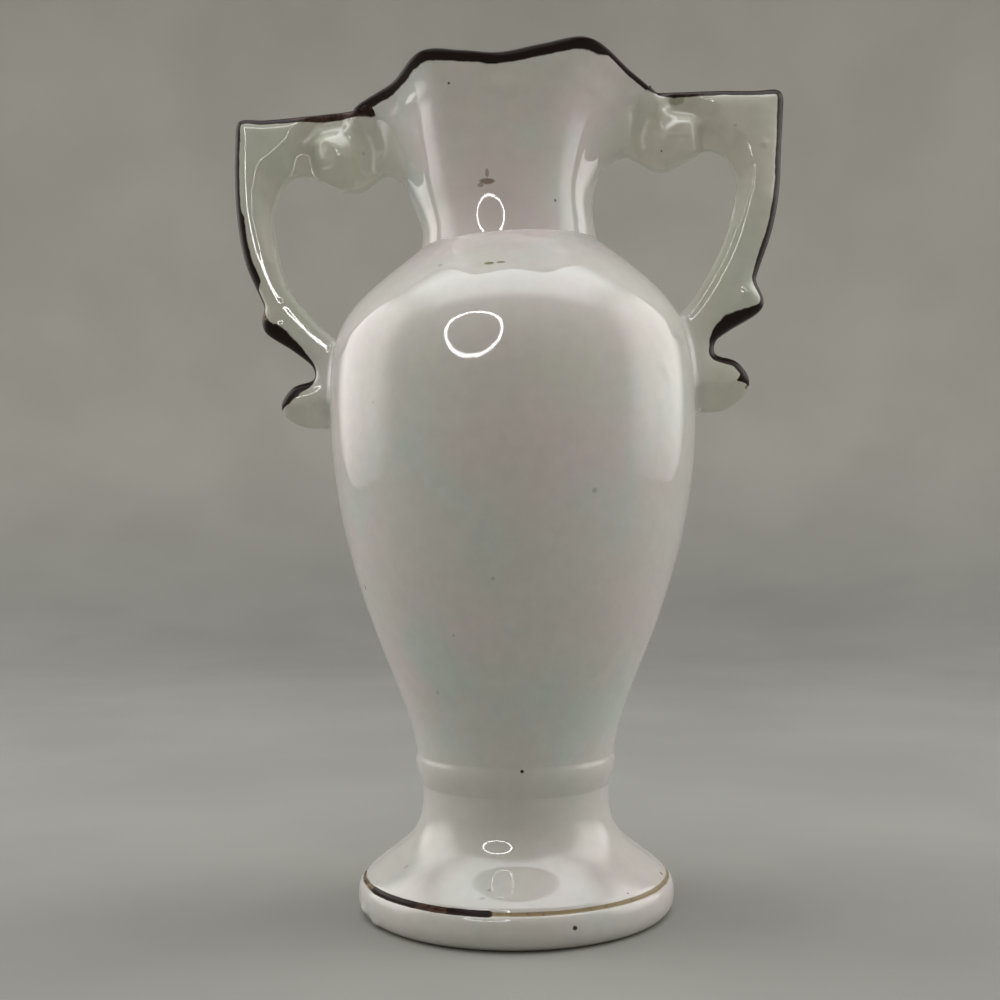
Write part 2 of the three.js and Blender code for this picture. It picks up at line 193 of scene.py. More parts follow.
# The handles were finished by hand: the left one sits lower, bows out more and has a slimmer strap.
# Front and back say how far in the edges are rolled over and how much of the thickness they keep,
# scoop how wide the arch is hollowed, and corner_glow how far the face falls away at the corner.
# Eye is the place of the scroll's eye from the corner and from the ledge, and its radius; bumps are
# places, radii and heights. Line is the half width of the painted line at places along the edge, and
# rubbed is how worn it is there. From eye to spots, plain numbers are millimetres.
HANDLES = (
    {
        "name": "handle_right", "side": 1, "drop": 0.0, "mouth_rise": 0.1 * MM, "corner_trim": 0.0,
        "bow": 0.0, "strap_top": 6.5 * MM, "strap_foot": 6.7 * MM, "eye_grow": 0.0, "eye_foot": 0.0,
        "tail_drop": 0.0, "tail_pull": 0.0, "tail_depth": 2.3 * MM, "front": (2.9 * MM, 0.35),
        "back": (1.2 * MM, 0.8), "scoop": 4.2 * MM, "corner_glow": 0.7 * MM, "eye": (16.1, 7.9, 3.5),
        "bumps": ((39.9, 117.2, 0.8, 0.3), (37.0, 94.4, 1.7, 0.55)),
        "line": (
            (0, 1.15), (36, 1.1), (47, 1.05), (62, 1.05), (66.5, 0.8), (69, 0.65), (71.6, 1.1),
            (73.5, 1.6), (77, 2.3), (78.6, 1.6), (80.5, 0.9), (83.3, 1.1), (87.2, 1.2), (88, 2.1),
            (89, 2.0), (89.6, 0.4), (89.8, 0), (95, 0),
        ),
        "rubbed": ((0, 0.3), (19, 0.4), (24, 0.45), (29, 0.1), (95, 0.1)),
        "spots": (
            (25.5, 125.2, 1.1, 1.3, 0.8, 0.55, OLIVE), (25.2, 125.9, 0.6, 1.2, 0.8, 1.0, BLACK),
            (23.2, 117.1, 0.16, 1, 1, 0.8, BLACK), (36.2, 80.8, 0.35, 0.8, 1.2, 0.8, BROWN),
        ),
    },
    {
        "name": "handle_left", "side": -1, "drop": 1.4 * MM, "mouth_rise": 0.6 * MM,
        "corner_trim": 0.9 * MM, "bow": 0.6 * MM, "strap_top": 5.3 * MM, "strap_foot": 4.6 * MM,
        "eye_grow": 1.1 * MM, "eye_foot": 2.5 * MM, "tail_drop": 1.1 * MM, "tail_pull": 0.5 * MM,
        "tail_depth": 1.3 * MM, "front": (2.4 * MM, 0.5), "back": (1.2 * MM, 0.8), "scoop": 4.8 * MM,
        "corner_glow": 0.0, "eye": (16.5, 6.8, 3.8),
        "bumps": ((-35.2, 95.6, 0.5, 0.2), (-35.9, 91.7, 0.5, 0.2)),
        "line": (
            (0, 1.4), (19, 1.4), (25, 1.2), (33, 1.0), (36, 1.05), (50, 1.05), (51, 1.5), (61.5, 1.5),
            (62.8, 0.4), (66.2, 0.35), (67.6, 1.3), (70.5, 2.5), (72, 2.5), (75.5, 1.6), (79.5, 0.45),
            (81.2, 0.35), (82.4, 1.2), (85, 1.9), (87.5, 1.6), (88.8, 0.7), (89.4, 0), (95, 0),
        ),
        "rubbed": (
            (0, 0.35), (18, 0.5), (27, 0.5), (30, 0.2), (62, 0.15), (63, 0.5), (66, 0.5), (67.5, 0.65),
            (69, 0.15), (95, 0.1),
        ),
        "spots": (),
    },
)

# Kiln lean: above this level the ware bends towards the left handle, and then stands straight again
LEAN = math.radians(1.4)
LEAN_START = 60 * MM
LEAN_SPAN = 44 * MM

# The neck was set on a little askew, so the crease under it rises towards the right handle
SEAT_TILT = math.radians(1.5)
SEAT_REACH = 15 * MM
SEAT_FROM, SEAT_LEVEL, SEAT_TO = 86 * MM, 103 * MM, 114 * MM


def mix(start, end, part):
    return start + (end - start) * part


def smooth_step(value, low, high):
    part = min(1.0, max(0.0, (value - low) / (high - low)))
    return part * part * (3 - 2 * part)


def flat(x, z):
    return Vector((x, z))


def body_top(size):
    return size.foot_height + size.body_height


def mouth_level(size):
    return body_top(size) + size.neck_height


# Bench work: small helpers that stand for the hand operations in edit mode

# Points closer together than this are one point, and faces that meet at less than this angle look round
SAME_POINT = 1e-6
ROUND_ANGLE = math.radians(50)


def deselect_all():
    if bpy.context.object and bpy.context.object.mode != "OBJECT":
        bpy.ops.object.mode_set(mode="OBJECT")
    bpy.ops.object.select_all(action="DESELECT")


def pick(piece):
    deselect_all()
    piece.select_set(True)
    bpy.context.view_layer.objects.active = piece


def rename(piece, name):
    piece.name = name
    piece.data.name = name


def drawn_outline(name, points):
    """A chain of edges: one point is placed and then extruded from point to point."""
    deselect_all()
    bpy.ops.mesh.primitive_plane_add(size=MM, location=(0, 0, 0))
    piece = bpy.context.object
    rename(piece, name)
    bpy.ops.object.mode_set(mode="EDIT")
    bpy.ops.mesh.select_all(action="SELECT")
    bpy.ops.mesh.merge(type="CENTER")
    first = points[0]
    bpy.ops.transform.translate(value=(first.x, 0, first.y))
    for before, after in zip(points, points[1:]):
        step = after - before
        bpy.ops.mesh.extrude_vertices_move(TRANSFORM_OT_translate={"value": (step.x, 0, step.y)})
    bpy.ops.object.mode_set(mode="OBJECT")
    return piece


def close_up():
    """Welds the active piece where its points meet, and turns every face outwards."""
    bpy.ops.object.mode_set(mode="EDIT")
    bpy.ops.mesh.select_all(action="SELECT")
    bpy.ops.mesh.remove_doubles(threshold=SAME_POINT)
    bpy.ops.mesh.normals_make_consistent(inside=False)
    bpy.ops.object.mode_set(mode="OBJECT")


def turned(name, points, steps=0):
    """A closed piece spun from an outline that closes on itself or starts and ends on the axis."""
    piece = drawn_outline(name, points)
    bpy.ops.object.mode_set(mode="EDIT")
    bpy.ops.mesh.select_all(action="SELECT")
    steps = steps or bpy.context.scene.vase_stage.steps
    bpy.ops.mesh.spin(steps=steps, angle=2 * math.pi, center=(0, 0, 0), axis=(0, 0, 1))
    close_up()
    return piece


def apply_modifier(piece, kind, **settings):
    """Adds a modifier and applies it at once."""
    pick(piece)
    modifier = piece.modifiers.new(kind.title(), kind)
    for name, value in settings.items():
        setattr(modifier, name, value)
    bpy.ops.object.modifier_apply(modifier=modifier.name)


def joined_curve(start, start_pull, end_pull, end, steps):
    """Points along a curve that leaves towards one pull and arrives from the other."""
    return interpolate_bezier(start, start_pull, end_pull, end, steps + 1)


def inset(points, wall):
    return [flat(point.x - wall, point.y) for point in points]


def lean(piece):
    """Bends the piece as the kiln did, the same way for every piece."""
    for vertex in piece.data.vertices:
        x, _, z = vertex.co
        near = smooth_step(z, SEAT_FROM, SEAT_LEVEL) * (1 - smooth_step(z, SEAT_LEVEL, SEAT_TO))
        z += SEAT_TILT * max(-SEAT_REACH, min(SEAT_REACH, x)) * near
        height = max(0.0, z - LEAN_START)
        bent = min(height, LEAN_SPAN)
        angle = LEAN * bent / LEAN_SPAN
        axis_shift = -LEAN * (bent * bent / (2 * LEAN_SPAN) + height - bent)
        vertex.co.x = axis_shift + x * math.cos(angle)
        vertex.co.z = z + x * math.sin(angle)


def number_layer(piece, name, values):
    """Keeps one number for each vertex, for the paint to follow."""
    layer = piece.data.attributes.new(name, "FLOAT", "POINT")
    layer.data.foreach_set("value", values)


def finish_piece(piece, node, material):
    pick(piece)
    bpy.ops.object.shade_smooth_by_angle(angle=ROUND_ANGLE)
    piece.data.materials.clear()
    piece.data.materials.append(material)
    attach(piece, "root")
    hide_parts(node)


# Foot

def rim_roll(size):
    edge = size.ring_rounding
    bottom = flat(size.rim_radius - edge, 0)
    front = flat(size.rim_radius, size.rim_height * 0.5)
    top = flat(size.rim_radius - edge / 2, size.rim_height)
    under = joined_curve(bottom, flat(front.x - edge * 0.4, 0), flat(front.x, front.y * 0.4), front, 14)
    over = joined_curve(front, flat(front.x, front.y * 1.6), flat(top.x + edge * 0.3, top.y), top, 14)
    return under + over[1:]


def foot_cone(size):
    start = flat(size.rim_radius - size.ring_rounding / 2 - 0.25 * MM, size.rim_height + 0.6 * MM)
    waist = flat(size.waist_radius, size.waist_level)
    start_pull = flat(mix(start.x, waist.x, 0.48), mix(start.y, waist.y, 0.34))
    waist_pull = flat(size.waist_radius, mix(start.y, waist.y, 0.43))
    return joined_curve(start, start_pull, waist_pull, waist, 40)


def waist_bead(size):
    """The hollow under the bead, its round front and the run up into the body."""
    base = size.foot_height - size.bead_height
    waist = flat(size.waist_radius, size.waist_level)
    under = flat(mix(size.waist_radius, size.bead_radius, 0.12), base)
    front = flat(size.bead_radius + size.bead_swell, base + size.bead_height * 0.78)
    top = flat(size.bead_radius - size.bead_tuck, size.foot_height)
    lower = joined_curve(waist, flat(waist.x, mix(waist.y, base, 0.6)), under, under, 6)
    bulge = joined_curve(
        under, flat(under.x + 0.35 * MM, base + 0.9 * MM), flat(front.x, front.y - 1.3 * MM), front, 12
    )
    rise = joined_curve(
        front, flat(front.x, front.y + 0.5 * MM), flat(top.x + 0.02 * MM, top.y - 0.4 * MM), top, 10
    )
    return lower[1:] + bulge[1:] + rise[1:]


def foot_outline(size):
    """The whole section of the foot, from the axis underneath round to the axis inside."""
    floor_top = size.recess + size.floor_thickness
    cone = foot_cone(size)
    fillet = 1.4 * MM
    inner = [point for point in inset(cone, size.wall) if point.y > floor_top + fillet]
    inner.reverse()
    corner = inner[-1]
    heel = joined_curve(
        corner, flat(corner.x, floor_top + fillet * 0.3), flat(corner.x - fillet * 0.6, floor_top),
        flat(corner.x - fillet * 1.6, floor_top), 8,
    )
    slope = flat(size.ring_radius - 0.8 * MM, size.recess)
    ring_inner = joined_curve(
        slope, flat(slope.x + 0.5 * MM, size.recess * 0.7), flat(size.ring_radius - 0.1 * MM, 0.1 * MM),
        flat(size.ring_radius + 0.6 * MM, 0), 8,
    )
    return [
        flat(0, size.recess), flat(slope.x * 0.5, size.recess), *ring_inner, *rim_roll(size), *cone,
        *waist_bead(size), flat(size.bead_radius - size.wall, size.foot_height), *inner, *heel[1:],
        flat(corner.x * 0.4, floor_top), flat(0, floor_top),
    ]


# Body

def body_side(size, grow=0.0, steps=56):
    """The outside of the body from the bead up to the crease, grown or shrunk all over."""
    belly = flat(size.belly_radius, size.foot_height + size.belly_rise)
    start = flat(size.bead_radius, size.foot_height)
    crease = flat(size.neck_radius + size.crease_step, body_top(size))
    shoulder_rise = crease.y - belly.y
    swell = joined_curve(
        start, flat(mix(start.x, belly.x, 0.04), start.y + size.belly_rise * 0.2),
        flat(belly.x, start.y + size.belly_rise * 0.45), belly, steps,
    )
    shoulder = joined_curve(
        belly, flat(belly.x, belly.y + shoulder_rise * 0.56),
        flat(mix(crease.x, belly.x, 0.74), belly.y + shoulder_rise * 0.64), crease, steps,
    )
    side = []
    for point in swell + shoulder[1:]:
        tuck = size.bead_tuck * (1 - smooth_step(point.y, start.y, start.y + 2.2 * MM))
        side.append(flat(point.x + grow - tuck, point.y))
    return side


# Blisters and dents: the place in the picture plane, the radius and the height, in millimetres
DENTS = ((-22.0, 1.0, 0.7, -0.4), (-22.6, 1.9, 0.9, 0.3), (-20.5, 0.9, 1.0, 0.2))
BLISTERS = (
    (22.95, 82.1, 0.9, 0.26), (23.5, 81.6, 0.6, -0.16), (23.25, 80.9, 0.6, 0.2), (22.2, 77.0, 0.7, 0.2),
)


def raise_blisters(piece, blisters):
    """Pushes small bumps and dents into the front of the piece."""
    for vertex in piece.data.vertices:
        if vertex.co.y > 0 or vertex.normal.y > -LEAST_FACING:
            continue
        for across, level, radius, height in blisters:
            apart = math.hypot(vertex.co.x - across * MM, vertex.co.z - level * MM) / (radius * MM)
            if apart < 1:
                vertex.co += vertex.normal * height * MM * (1 - apart * apart) ** 2


# Neck: a straight tube is thrown, and its top is pressed out into two lobes

FILL_STEPS = 96

# Shares of the height of the neck: where the crease has run out, and the middle and the reach of the
# ridge and of the hollow under the lip
CREASE_END = 0.26
RIDGE_AT, RIDGE_REACH = 0.83, 0.045
HOLLOW_AT, HOLLOW_REACH = 0.93, 0.04


def lobe_side(size, corner):
    """Half of a lobe, from the handle round the corner to its middle."""
    side, reach, rise, hollow = corner["side"], corner["reach"], corner["rise"], corner["hollow"]
    depth = size.mouth_front
    level = mouth_level(size)
    along = mix(size.mouth_side, reach, hollow)
    return [
        Vector((side * size.mouth_side, 0, level)),
        Vector((side * along, depth * 0.5, level + rise * 0.45)),
        Vector((side * reach, depth * 0.99, level + rise)),
        Vector((side * reach * 0.5, depth, level + (rise + size.lobe_rise) / 2)),
        Vector((0, depth * 0.96, level + size.lobe_rise)),
    ]


def mouth_controls(size):
    right = lobe_side(size, LOBE_CORNERS[0])
    left = lobe_side(size, LOBE_CORNERS[1])[::-1]
    lobe = right + left[1:]
    mirrored = [Vector((point.x, -point.y, point.z)) for point in lobe[-2:0:-1]]
    return lobe + mirrored


def mouth_edge(controls, turn):
    """A point of the mouth's edge on one smooth closed curve, with turn running from 0 to 1."""
    count = len(controls)
    place = (turn % 1.0) * count
    index = int(place)
    part = place - index
    before, start, end, after = (controls[(index + offset) % count] for offset in (-1, 0, 1, 2))
    gaps = [max(1e-6, (b - a).length ** 0.5) for a, b in ((before, start), (start, end), (end, after))]
    leave = (
        (start - before) / gaps[0] - (end - before) / (gaps[0] + gaps[1]) + (end - start) / gaps[1]
    ) * gaps[1]
    arrive = (
        (end - start) / gaps[1] - (after - start) / (gaps[1] + gaps[2]) + (after - end) / gaps[2]
    ) * gaps[1]
    square = part * part
    cube = square * part
    return (
        start * (2 * cube - 3 * square + 1) + leave * (cube - 2 * square + part)
        + end * (3 * square - 2 * cube) + arrive * (cube - square)
    )


def flare(part):
    """How far the tube has opened to the mouth at this share of its height."""
    return 0.84 * part ** 1.85 + 0.16 * smooth_step(part, 0.82, 1.0)


def neck_fill(size, grow):
    """The straight tube before pressing, filled solid and carried on above the mouth."""
    radius = size.neck_radius + grow
    start = body_top(size)
    rings = 30
    outside = [flat(radius, start + size.neck_height * i / rings) for i in range(rings + 1)]
    top = start + size.neck_height + size.lobe_rise * 2
    foot = start - size.wall
    outline = [flat(0, foot), flat(radius, foot), *outside, flat(radius, top), flat(0, top)]
    return turned("neck_fill", outline, FILL_STEPS)


def neck_tube(size):
    """The straight tube before pressing. Its wall and its level say where each point goes."""
    radius, start, rise = size.neck_radius, body_top(size), size.neck_height
    lip = size.lip_thickness
    crest_start = start + rise - size.lip_crest
    rings, turns = 72, 14
    outside = [flat(radius, start + rise * i / rings) for i in range(rings)]
    outside = [point for point in outside if point.y < crest_start]
    crest = []
    for i in range(turns + 1):
        angle = math.pi * i / turns
        crest_level = crest_start + 2 * size.lip_crest * math.sin(angle)
        crest.append(flat(radius - lip / 2 * (1 - math.cos(angle)), crest_level))
    inside = []
    for point in reversed(outside):
        wall = mix(size.wall, lip, (point.y - start) / rise)
        inside.append(flat(radius - wall, point.y))
    return turned("neck_pressed", outside + crest + inside + outside[:1])


def press_mouth(piece, size):
    """Presses the straight tube out to the lobes of the mouth."""
    controls = mouth_controls(size)
    steps = bpy.context.scene.vase_stage.steps
    start, rise = body_top(size), size.neck_height
    edges = [mouth_edge(controls, i / steps) for i in range(steps)]
    lip_distance = []
    for vertex in piece.data.vertices:
        x, y, z = vertex.co
        turn = math.atan2(y, x) / (2 * math.pi)
        edge = edges[round(turn * steps) % steps]
        part = min(1.0, max(0.0, (z - start) / rise))
        lift = max(0.0, z - start - rise)
        wall = size.neck_radius - math.hypot(x, y)
        reach = math.hypot(edge.x, edge.y)
        crease = size.crease_step * max(0.0, 1 - part / CREASE_END) ** 2
        bow = size.neck_bow * smooth_step(part, 0.08, 0.38) * (1 - smooth_step(part, 0.6, 0.95))
        ridge = size.lip_ridge * math.exp(-((part - RIDGE_AT) / RIDGE_REACH) ** 2)
        hollow = size.lip_ridge * 0.5 * math.exp(-((part - HOLLOW_AT) / HOLLOW_REACH) ** 2)
        outer = 1 - smooth_step(wall, 0.2 * MM, 0.9 * MM)
        radius = mix(size.neck_radius, reach, flare(part)) + crease - wall + (ridge - hollow) * outer
        lip_distance.append((1 - part) * rise / MM if wall < size.lip_thickness * 0.5 else wall / MM)
        if math.hypot(x, y) < MM:
            radius = 0.0
        vertex.co = (radius * edge.x / reach - bow, radius * edge.y / reach, mix(start, edge.z, part) + lift)
    number_layer(piece, "lip_distance", lip_distance)


# Handles

def ledge_level(size, spec):
    return mouth_level(size) + size.lip_crest - spec["drop"]


def knots_through(points):
    """Curve knots through the points, each leaning along the line between its neighbours."""
    knots = []
    for index, point in enumerate(points):
        before = points[max(index - 1, 0)]
        after = points[min(index + 1, len(points) - 1)]
        pull = (after - before) / 6
        knots.append((point - pull, point, point + pull))
    return knots


def joined_runs(runs):
    """One closed chain of knots. A run starts at the last point of the one before, with a corner there."""
    chain = []
    for run in runs:
        knots = knots_through(run)
        if chain:
            chain[-1] = (chain[-1][0], chain[-1][1], knots[0][2])
            knots = knots[1:]
        chain += knots
    return chain


def handle_runs(size, grip, spec):
    """The outline of a handle: the ledge and the corner, the strap and the cusp, the curl, the inner side.

    Places are shares of the room beside the vessel, inwards from the reach, and of the handle's height.
    """
    side = spec["side"]
    top = ledge_level(size, spec)
    tail = top - grip.height - spec["tail_drop"]
    corner = grip.reach - spec["corner_trim"]
    room = grip.reach - size.belly_radius
    span = grip.reach - size.neck_radius
    turn = grip.corner

    def at(x, z):
        return flat(side * x, z)

    def outer(across, down, bow):
        return at(grip.reach - across * room + spec["bow"] * bow, top - down * grip.height)

    def curl(across, down):
        return at(grip.reach - across * room - spec["tail_pull"], tail + (1 - down) * grip.height)

    def ledge(across, down, grow):
        return at(grip.reach - across * span + spec["eye_grow"] * grow, top - down * grip.height)

    strap = [
        outer(0.04, 0.192, 0.1), outer(0.074, 0.335, 0.6), outer(0.162, 0.473, 1),
        outer(0.317, 0.601, 1),
    ]
    cusp = [
        outer(0.343, 0.635, 0.8), outer(0.29, 0.674, 0.2), outer(0.269, 0.704, -0.6),
        outer(0.33, 0.733, -0.6), outer(0.593, 0.778, 0.6),
    ]

    def strap_inside(index, part):
        after = strap[index + 1] if index + 1 < len(strap) else cusp[0]
        along = (after - strap[index - 1]).normalized()
        width = mix(spec["strap_top"], spec["strap_foot"], part)
        return flat(strap[index].x + side * width * along.y, strap[index].y - side * width * along.x)

    mouth = at(size.mouth_side, top + spec["mouth_rise"])
    ledge_run = [
        mouth, at(mix(size.mouth_side, corner, 0.5), top), at(corner - 3 * turn, top - 0.2 * MM),
        at(corner - turn, top), at(corner - turn * 0.27, top - turn * 0.27), at(corner, top - turn),
    ]
    belly = size.belly_radius - spec["tail_pull"]
    curl_run = [
        curl(0.751, 0.81), curl(0.798, 0.84), curl(0.771, 0.866), curl(0.569, 0.887), curl(0.441, 0.942),
        curl(0.475, 0.989), at(belly + 5 * MM, tail - spec["tail_depth"] * 0.8),
        at(belly + 2.4 * MM, tail - spec["tail_depth"]),
    ]
    wall = at(size.belly_radius - size.wall, tail - spec["tail_depth"])
    root = at(size.belly_radius - size.wall - 3 * MM, tail + 0.19 * grip.height)
    inner_run = [
        root, at(grip.reach - 1.199 * room + spec["eye_foot"], top - 0.742 * grip.height),
        at(grip.reach - 1.017 * room + spec["eye_foot"], top - 0.687 * grip.height),
        strap_inside(3, 1), strap_inside(2, 0.4), strap_inside(1, 0),
        ledge(0.258, 0.268, 1), ledge(0.303, 0.212, 1), ledge(0.388, 0.187, 0.9),
        ledge(0.468, 0.209, 0.4), ledge(0.575, 0.243, 0.2), ledge(0.629, 0.25, 0.2),
        ledge(0.682, 0.241, 0.1), ledge(0.766, 0.207, 0.1), ledge(0.816, 0.194, 0.1),
        ledge(0.906, 0.22, 0.1), at(size.neck_radius * 0.6, top - 0.3 * grip.height),
    ]
    start = at(size.neck_radius * 0.5, top + spec["mouth_rise"])
    outer_runs = [ledge_run, [ledge_run[-1], *strap, *cusp], [cusp[-1], *curl_run]]
    inner_runs = [[curl_run[-1], wall], [wall, root], inner_run, [inner_run[-1], start]]
    return [[start, mouth]] + outer_runs, inner_runs


def chain_points(chain, steps):
    points = []
    for knot, after in zip(chain, chain[1:]):
        points += interpolate_bezier(knot[1], knot[2], after[0], after[1], steps + 1)[:-1]
    return points + [chain[-1][1]]


def handle_plate(size, grip, spec):
    """A flat curve of the outline, filled, given its thickness and made a mesh."""
    outer_runs, inner_runs = handle_runs(size, grip, spec)
    chain = joined_runs(outer_runs + inner_runs)
    chain[0] = (chain[-1][0], chain[0][1], chain[0][2])
    chain.pop()
    outline = bpy.data.curves.new(spec["name"], "CURVE")
    outline.dimensions = "2D"
    outline.fill_mode = "BOTH"
    outline.resolution_u = 14
    outline.extrude = grip.thickness / 2
    spline = outline.splines.new("BEZIER")
    spline.bezier_points.add(len(chain) - 1)
    for knot, (left, middle, right) in zip(spline.bezier_points, chain):
        knot.handle_left_type = knot.handle_right_type = "FREE"
        knot.co = middle.to_3d()
        knot.handle_left = left.to_3d()
        knot.handle_right = right.to_3d()
    spline.use_cyclic_u = True
    piece = bpy.data.objects.new(spec["name"], outline)
    bpy.context.scene.collection.objects.link(piece)
    piece.rotation_euler = (math.pi / 2, 0, 0)
    pick(piece)
    bpy.ops.object.convert(target="MESH")
    piece = bpy.context.object
    bpy.ops.object.transform_apply(location=True, rotation=True, scale=True)
    close_up()
    return piece


def vessel_fills(size, grow):
    """The body and the neck filled solid, this much larger or smaller than they are."""
    side = body_side(size, grow, 20)
    body = turned("body_fill", [flat(0, side[0].y), *side, flat(0, side[-1].y)], FILL_STEPS)
    neck = neck_fill(size, grow)
    press_mouth(neck, size)
    return body, neck


def skin_tree(fill):
    """The surface of a fill, ready to be searched."""
    places = [vertex.co.copy() for vertex in fill.data.vertices]
    return BVHTree.FromPolygons(places, [list(face.vertices) for face in fill.data.polygons])


def remove(*objects):
    for item in objects:
        bpy.data.objects.remove(item, do_unlink=True)


def edge_tree(points):
    """The points of a path in the picture plane, ready to be searched."""
    tree = kdtree.KDTree(len(points))
    for index, point in enumerate(points):
        tree.insert((point.x, 0, point.y), index)
    tree.balance()
    return tree


def nearest(tree, place):
    _, index, apart = tree.find((place.x, 0, place.z))
    return index, apart


def round_over(piece, size, grip, spec):
    """Rolls the front and the back over towards every edge of the outline."""
    outer_runs, inner_runs = handle_runs(size, grip, spec)
    outer = chain_points(joined_runs(outer_runs[1:]), 60)
    inner = chain_points(joined_runs(inner_runs[2:3]), 60)
    tree = edge_tree(outer + inner)
    half = grip.thickness / 2
    for vertex in piece.data.vertices:
        roll, kept = spec["front"] if vertex.co.y < 0 else spec["back"]
        apart = nearest(tree, vertex.co)[1]
        crown = math.sqrt(max(0.0, 1 - (1 - min(1.0, apart / roll)) ** 2))
        vertex.co.y = math.copysign(min(abs(vertex.co.y), half) * mix(kept, 1.0, crown), vertex.co.y)


# A stroke leaves half a handle at least this thick, and works only where the face looks this much
# to the front or the back
LEAST_HALF = 0.7 * MM
LEAST_FACING = 0.05


def stroke(piece, path, radius, push, taper=(1.0, 0.75), soft=2.0, face=None):
    """One stroke of a modelling tool along a path of (x, z) points: pushes the faces out or in."""
    points = []
    for start, end in zip(path, path[1:]):
        points += [start.lerp(end, i / 8) for i in range(8)]
    points.append(path[-1])
    tree = edge_tree(points)
    last = max(1, len(points) - 1)
    for vertex in piece.data.vertices:
        if abs(vertex.normal.y) < LEAST_FACING:
            continue
        outward = math.copysign(1, vertex.co.y)
        if face and outward != face:
            continue
        index, apart = nearest(tree, vertex.co)
        grow = mix(*taper, index / last)
        if apart < radius * grow:
            fall = (1 - (apart / (radius * grow)) ** 2) ** soft
            depth = abs(vertex.co.y)
            moved = depth + push * grow * fall * min(1.0, abs(vertex.normal.y) * 1.5)
            vertex.co.y = outward * max(moved, min(depth, LEAST_HALF))


# Strokes round the eye of the scroll, in millimetres: the path across and down from the eye, the
# radius, and how far the faces are pushed out, or in where it is less than nothing
VALLEYS = (
    (((-4.9, 1.9), (-5.2, -0.8), (-4.4, -3.4), (-2.4, -5.0), (0.6, -5.4)), 3.0, -1.9),
    (((5.4, -4.2), (6.2, -1.1), (5.8, 1.6)), 2.7, -1.8),
)
RIDGES = ((((0.9, 1.6), (1.8, 3.4)), 2.4, 0.5), (((2.9, -4.2), (3.0, 0.4)), 1.2, 0.6))
EYE_HEIGHT = 2.5 * MM
SCOOP_DEPTH = 2.1 * MM
TAIL_RADIUS, TAIL_DEPTH = 4.2 * MM, 2.0 * MM
GLOW_RADIUS, GLOW_LENGTH = 4.2 * MM, 14 * MM


def carve_scroll(piece, size, grip, spec):
    """The scooped arch, the scroll's eye and its valleys, the hollow under the tail and the bumps."""
    top = ledge_level(size, spec)
    side = spec["side"]
    eye_across, eye_down, eye_radius = spec["eye"]

    def from_eye(across, down):
        return flat(side * (grip.reach - (eye_across + across) * MM), top - (eye_down + down) * MM)

    def eye_strokes(strokes):
        for path, radius, push in strokes:
            stroke(piece, [from_eye(*place) for place in path], radius * MM, push * MM)

    outer_runs, inner_runs = handle_runs(size, grip, spec)
    arch = inner_runs[2][4:10]
    stroke(piece, arch, spec["scoop"], -SCOOP_DEPTH, taper=(0.3, 1.2), soft=1.1)
    eye_strokes(VALLEYS)
    eye = [from_eye(0, 0), from_eye(0.1, 0.2)]
    stroke(piece, eye, eye_radius * MM, EYE_HEIGHT, taper=(1.0, 1.0), soft=1.25)
    eye_strokes(RIDGES)
    stroke(piece, outer_runs[3][-3:], TAIL_RADIUS, -TAIL_DEPTH, taper=(0.5, 1.1), soft=1.2)
    corner = flat(side * (grip.reach - spec["corner_trim"] - 0.3 * MM), top - 0.8 * MM)
    glow = [corner, corner - flat(side * MM, GLOW_LENGTH)]
    stroke(piece, glow, GLOW_RADIUS, -spec["corner_glow"])
    for across, level, radius, height in spec["bumps"]:
        place = flat(across * MM, level * MM)
        stroke(piece, [place, place + flat(0.1 * MM, 0)], radius * MM, height * MM, face=-1)


def depth_in(skins, place, reach):
    """How far a place lies outside the nearest skin, and which way is out there."""
    found = []
    for skin in skins:
        near, normal, _, apart = skin.find_nearest(place, reach)
        if near is not None:
            found.append((math.copysign(apart, (place - near).dot(normal)), normal))
    return min(found, key=lambda pair: pair[0]) if found else (reach, Vector((0, 0, 0)))


# How far from the vessel a handle still knows how near it is
JOINT_REACH = 6 * MM


def fill_joint(piece, size, grip, skins):
    """Draws the handle out into the vessel, as glaze does that runs into a corner."""
    moves, joint_distance = [], []
    for vertex in piece.data.vertices:
        depth, _ = depth_in(skins, vertex.co, JOINT_REACH)
        joint_distance.append(depth / MM)
        high = smooth_step(vertex.co.z, body_top(size) + 2 * MM, body_top(size) + 8 * MM)
        radius = mix(grip.fillet, grip.neck_fillet, high)
        left = radius - max(0.0, depth)
        if left <= 0:
            continue
        out = radius - math.sqrt(max(0.0, radius * radius - left * left))
        out *= 1 - smooth_step(vertex.normal.z, 0.2, 0.7)
        place = vertex.co + vertex.normal * out
        moved_depth, outward = depth_in(skins, place, JOINT_REACH)
        moves.append((vertex.index, place + outward * (depth - moved_depth)))
    for index, place in moves:
        piece.data.vertices[index].co = place
    number_layer(piece, "joint_distance", joint_distance)


def note_edge(piece, size, grip, spec):
    """Keeps the distance from the painted edge and the way along it, in millimetres."""
    outer_runs, _ = handle_runs(size, grip, spec)
    points = chain_points(joined_runs(outer_runs), 60)
    ways = [0.0]
    for before, after in zip(points, points[1:]):
        ways.append(ways[-1] + (after - before).length / MM)
    tree = edge_tree(points)
    distances, runs = [], []
    for vertex in piece.data.vertices:
        index, apart = nearest(tree, vertex.co)
        distances.append(apart / MM)
        runs.append(ways[index])
    number_layer(piece, "edge_distance", distances)
    number_layer(piece, "edge_run", runs)


